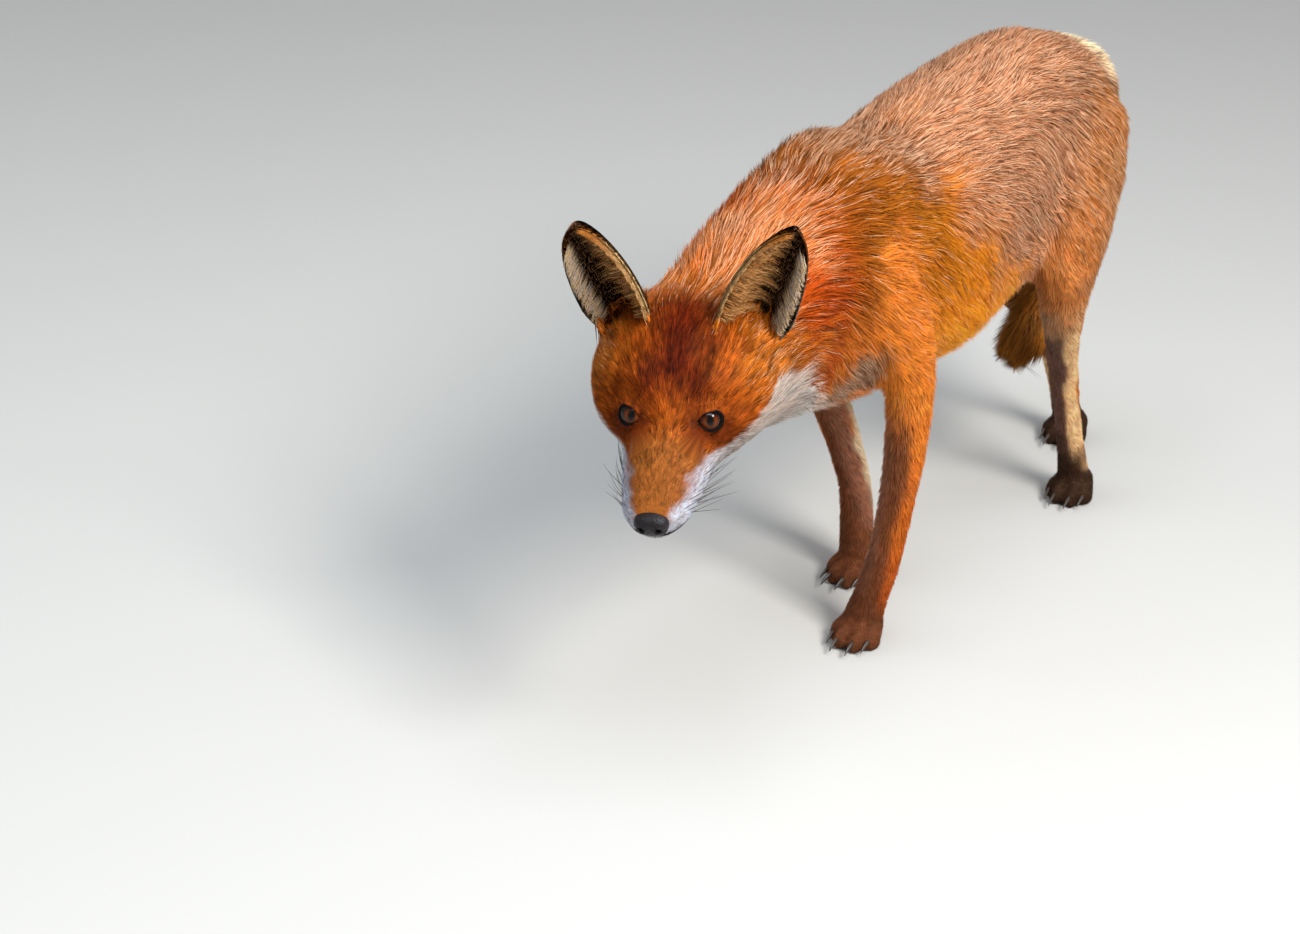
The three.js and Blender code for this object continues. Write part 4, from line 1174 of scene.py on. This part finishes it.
def eye_finish():
    """The iris, its pupil and the shadow of the upper lid under a glassy coat."""
    made = Finish("eye_glass", Roughness=0.4, Coat_Weight=0.45, Coat_Roughness=0.05, Coat_IOR=1.45,
                  Specular_IOR_Level=0.0)
    x, y, _ = made.add("SeparateXYZ", Vector=made.place()).node.outputs
    times = lambda a, b: made.math("MULTIPLY", a, b)

    def radius(x_size, y_size):
        across, up = made.math("DIVIDE", x, x_size), made.math("DIVIDE", y, y_size)
        return made.math("SQRT", made.math("ADD", times(across, across), times(up, up)))

    angle = made.math("ARCTAN2", y, x)
    turned = made.add("CombineXYZ", times(made.math("COSINE", angle), 4.0),
                      times(made.math("SINE", angle), 4.0), times(radius(0.006, 0.006), 0.6))
    streak = made.math("SUBTRACT", made.add("TexNoise", Vector=turned, Scale=5.0, Detail=4.0), 0.5)
    iris = made.ramp(made.math("ADD", radius(0.0066, 0.0066), times(streak, 0.34)),
                     (0.045, 0.010, 0.002), (0.004, 0.003, 0.002), (0.45, (0.10, 0.021, 0.002)),
                     (0.72, (0.065, 0.012, 0.002)), (0.86, (0.02, 0.007, 0.003)))
    pupil = made.add("MapRange", Value=radius(0.0025, 0.0037), From_Min=0.65, From_Max=1.3)
    mixed = made.add("MixRGB", Fac=pupil, Color1=(0.002, 0.002, 0.002, 1), Color2=iris)
    shaded = made.add("MapRange", Value=y, From_Min=0.0, From_Max=0.0038, To_Min=1.0, To_Max=0.08)
    made.fill(made.shader, {"Base Color": made.add("VectorMath", mixed, operation="SCALE", Scale=shaded)})
    return made.mat


fur_finish = tinted("fur", 0.8, 1.2, 260.0, Roughness=0.55, Specular_IOR_Level=0.04)[0].mat
skin_finish, skin_grain = tinted("skin", 0.75, 1.2, 700.0, Roughness=0.7, Specular_IOR_Level=0.04)
skin_finish.relief(skin_grain, 0.6, 0.0012)
leather = mottled("nose_leather", "TexVoronoi", 1050.0, (0.010, 0.007, 0.008), (0.005, 0.004, 0.004),
                  0.5, 0.0006, Roughness=0.36, Specular_IOR_Level=0.25)
horn = mottled("horn", "TexNoise", 900.0, (0.016, 0.012, 0.010), (0.060, 0.043, 0.032),
               0.25, 0.0003, Roughness=0.38, Specular_IOR_Level=0.5)
glass = eye_finish()


# ---------------- the pieces and what they ride on
def finished(ob, finish, slot, *replaced):
    """Gives a piece its finish and its body, and hides the nodes that it stands for; slot is not used."""
    ob.data.materials.append(finish)
    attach(ob, "root")
    if replaced:
        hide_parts(*replaced)


finished(new_mesh("skin", verts, tris, np.clip(skin_colour, 0, 1)), skin_finish.mat, "coat",
         *[row["node"] for row in SUBPARTS if row["material_slot"] == "coat"])
for ob in coat_pieces:
    finished(ob, fur_finish, "coat")
finished(new_mesh("nose_pad", *nose_pad()), leather, "nose_skin", "nose")
for side, name in ((1, "eye_left"), (-1, "eye_right")):
    finished(eyeball(side), glass, "eye", name)
for limb in LIMBS:
    finished(new_mesh("claws_" + limb, *claws(limb)), horn, "horn",
             *[f"claw_{limb}_{i}" for i in range(1, 5)])
finished(new_mesh("whiskers", *whiskers()), horn, "horn")

# ---------------- floor, light and camera
for ob in [o for o in bpy.data.objects if o.name in ("Cube", "Light", "Camera")]:
    bpy.data.objects.remove(ob)
FLOOR_SIZE, FLOOR_DROP = 14, 0.0003
bpy.ops.mesh.primitive_plane_add(size=FLOOR_SIZE, location=(0, 0, -FLOOR_DROP))
floor = bpy.context.object
floor.name = "floor"
floor.data.materials.append(
    Finish("floor_paint", Roughness=0.8, Specular_IOR_Level=0.2, Base_Color=(0.46, 0.455, 0.44, 1)).mat)


def softbox(name, place, aim, size, power, colour, wide=None, mirrored=False):
    """A soft lamp; only a mirrored one shows in glossy surfaces."""
    light = bpy.data.lights.new(name, "AREA")
    light.size = wide or size
    if wide:
        light.shape = "RECTANGLE"
        light.size_y = size
    light.energy = power
    light.color = colour
    ob = add(name, light)
    ob.location = place
    ob.rotation_euler = (Vector(aim) - Vector(place)).to_track_quat("-Z", "Y").to_euler()
    ob.visible_glossy = mirrored
    return ob


softbox("key", (1.85, -0.85, 1.9), (0, 0, 0.2), 0.9, 118, (1.0, 0.97, 0.92))
softbox("fill", (-1.7, -1.5, 1.3), (0, -0.1, 0.2), 2.4, 22, (0.92, 0.96, 1.0))
softbox("sky", (0.45, -0.60, 2.2), (0.1, -0.1, 0.2), 0.7, 34, (0.80, 0.90, 1.0), 1.8, mirrored=True)
catch = softbox("catch", (1.45, 0.0, 1.85), (0, -0.25, 0.25), 0.55, 60, (0.85, 0.92, 1.0), mirrored=True)
catch.visible_diffuse = False
world = bpy.data.worlds.new("studio")
world.use_nodes = True
background = world.node_tree.nodes["Background"].inputs
background["Color"].default_value = (0.93, 0.96, 1.0, 1)
background["Strength"].default_value = 0.45
bpy.context.scene.world = world
bpy.context.scene.view_settings.view_transform = "Standard"

CAMERA_AT = (0.93938, -1.65265, 0.9823)
CAMERA_ANGLES = (34.634, 24.927, 1.684)  # azimuth, elevation and roll in degrees
FOCAL_SHARE = 2917 / 1300  # focal length over the frame's width
SENSOR = 36
(ca, ce, cr), (sa, se, sr) = np.cos(np.radians(CAMERA_ANGLES)), np.sin(np.radians(CAMERA_ANGLES))
right, over = np.array([ca, sa, 0]), np.array([-sa * se, ca * se, ce])
lens = bpy.data.cameras.new("camera")
lens.sensor_fit = "HORIZONTAL"
lens.sensor_width = SENSOR
lens.lens = SENSOR * FOCAL_SHARE
camera = add("camera", lens)
axes = np.stack([right * cr + over * sr, over * cr - right * sr, (sa * ce, -ca * ce, se)], 1)
set_place(camera, axes, CAMERA_AT)
bpy.context.scene.camera = camera
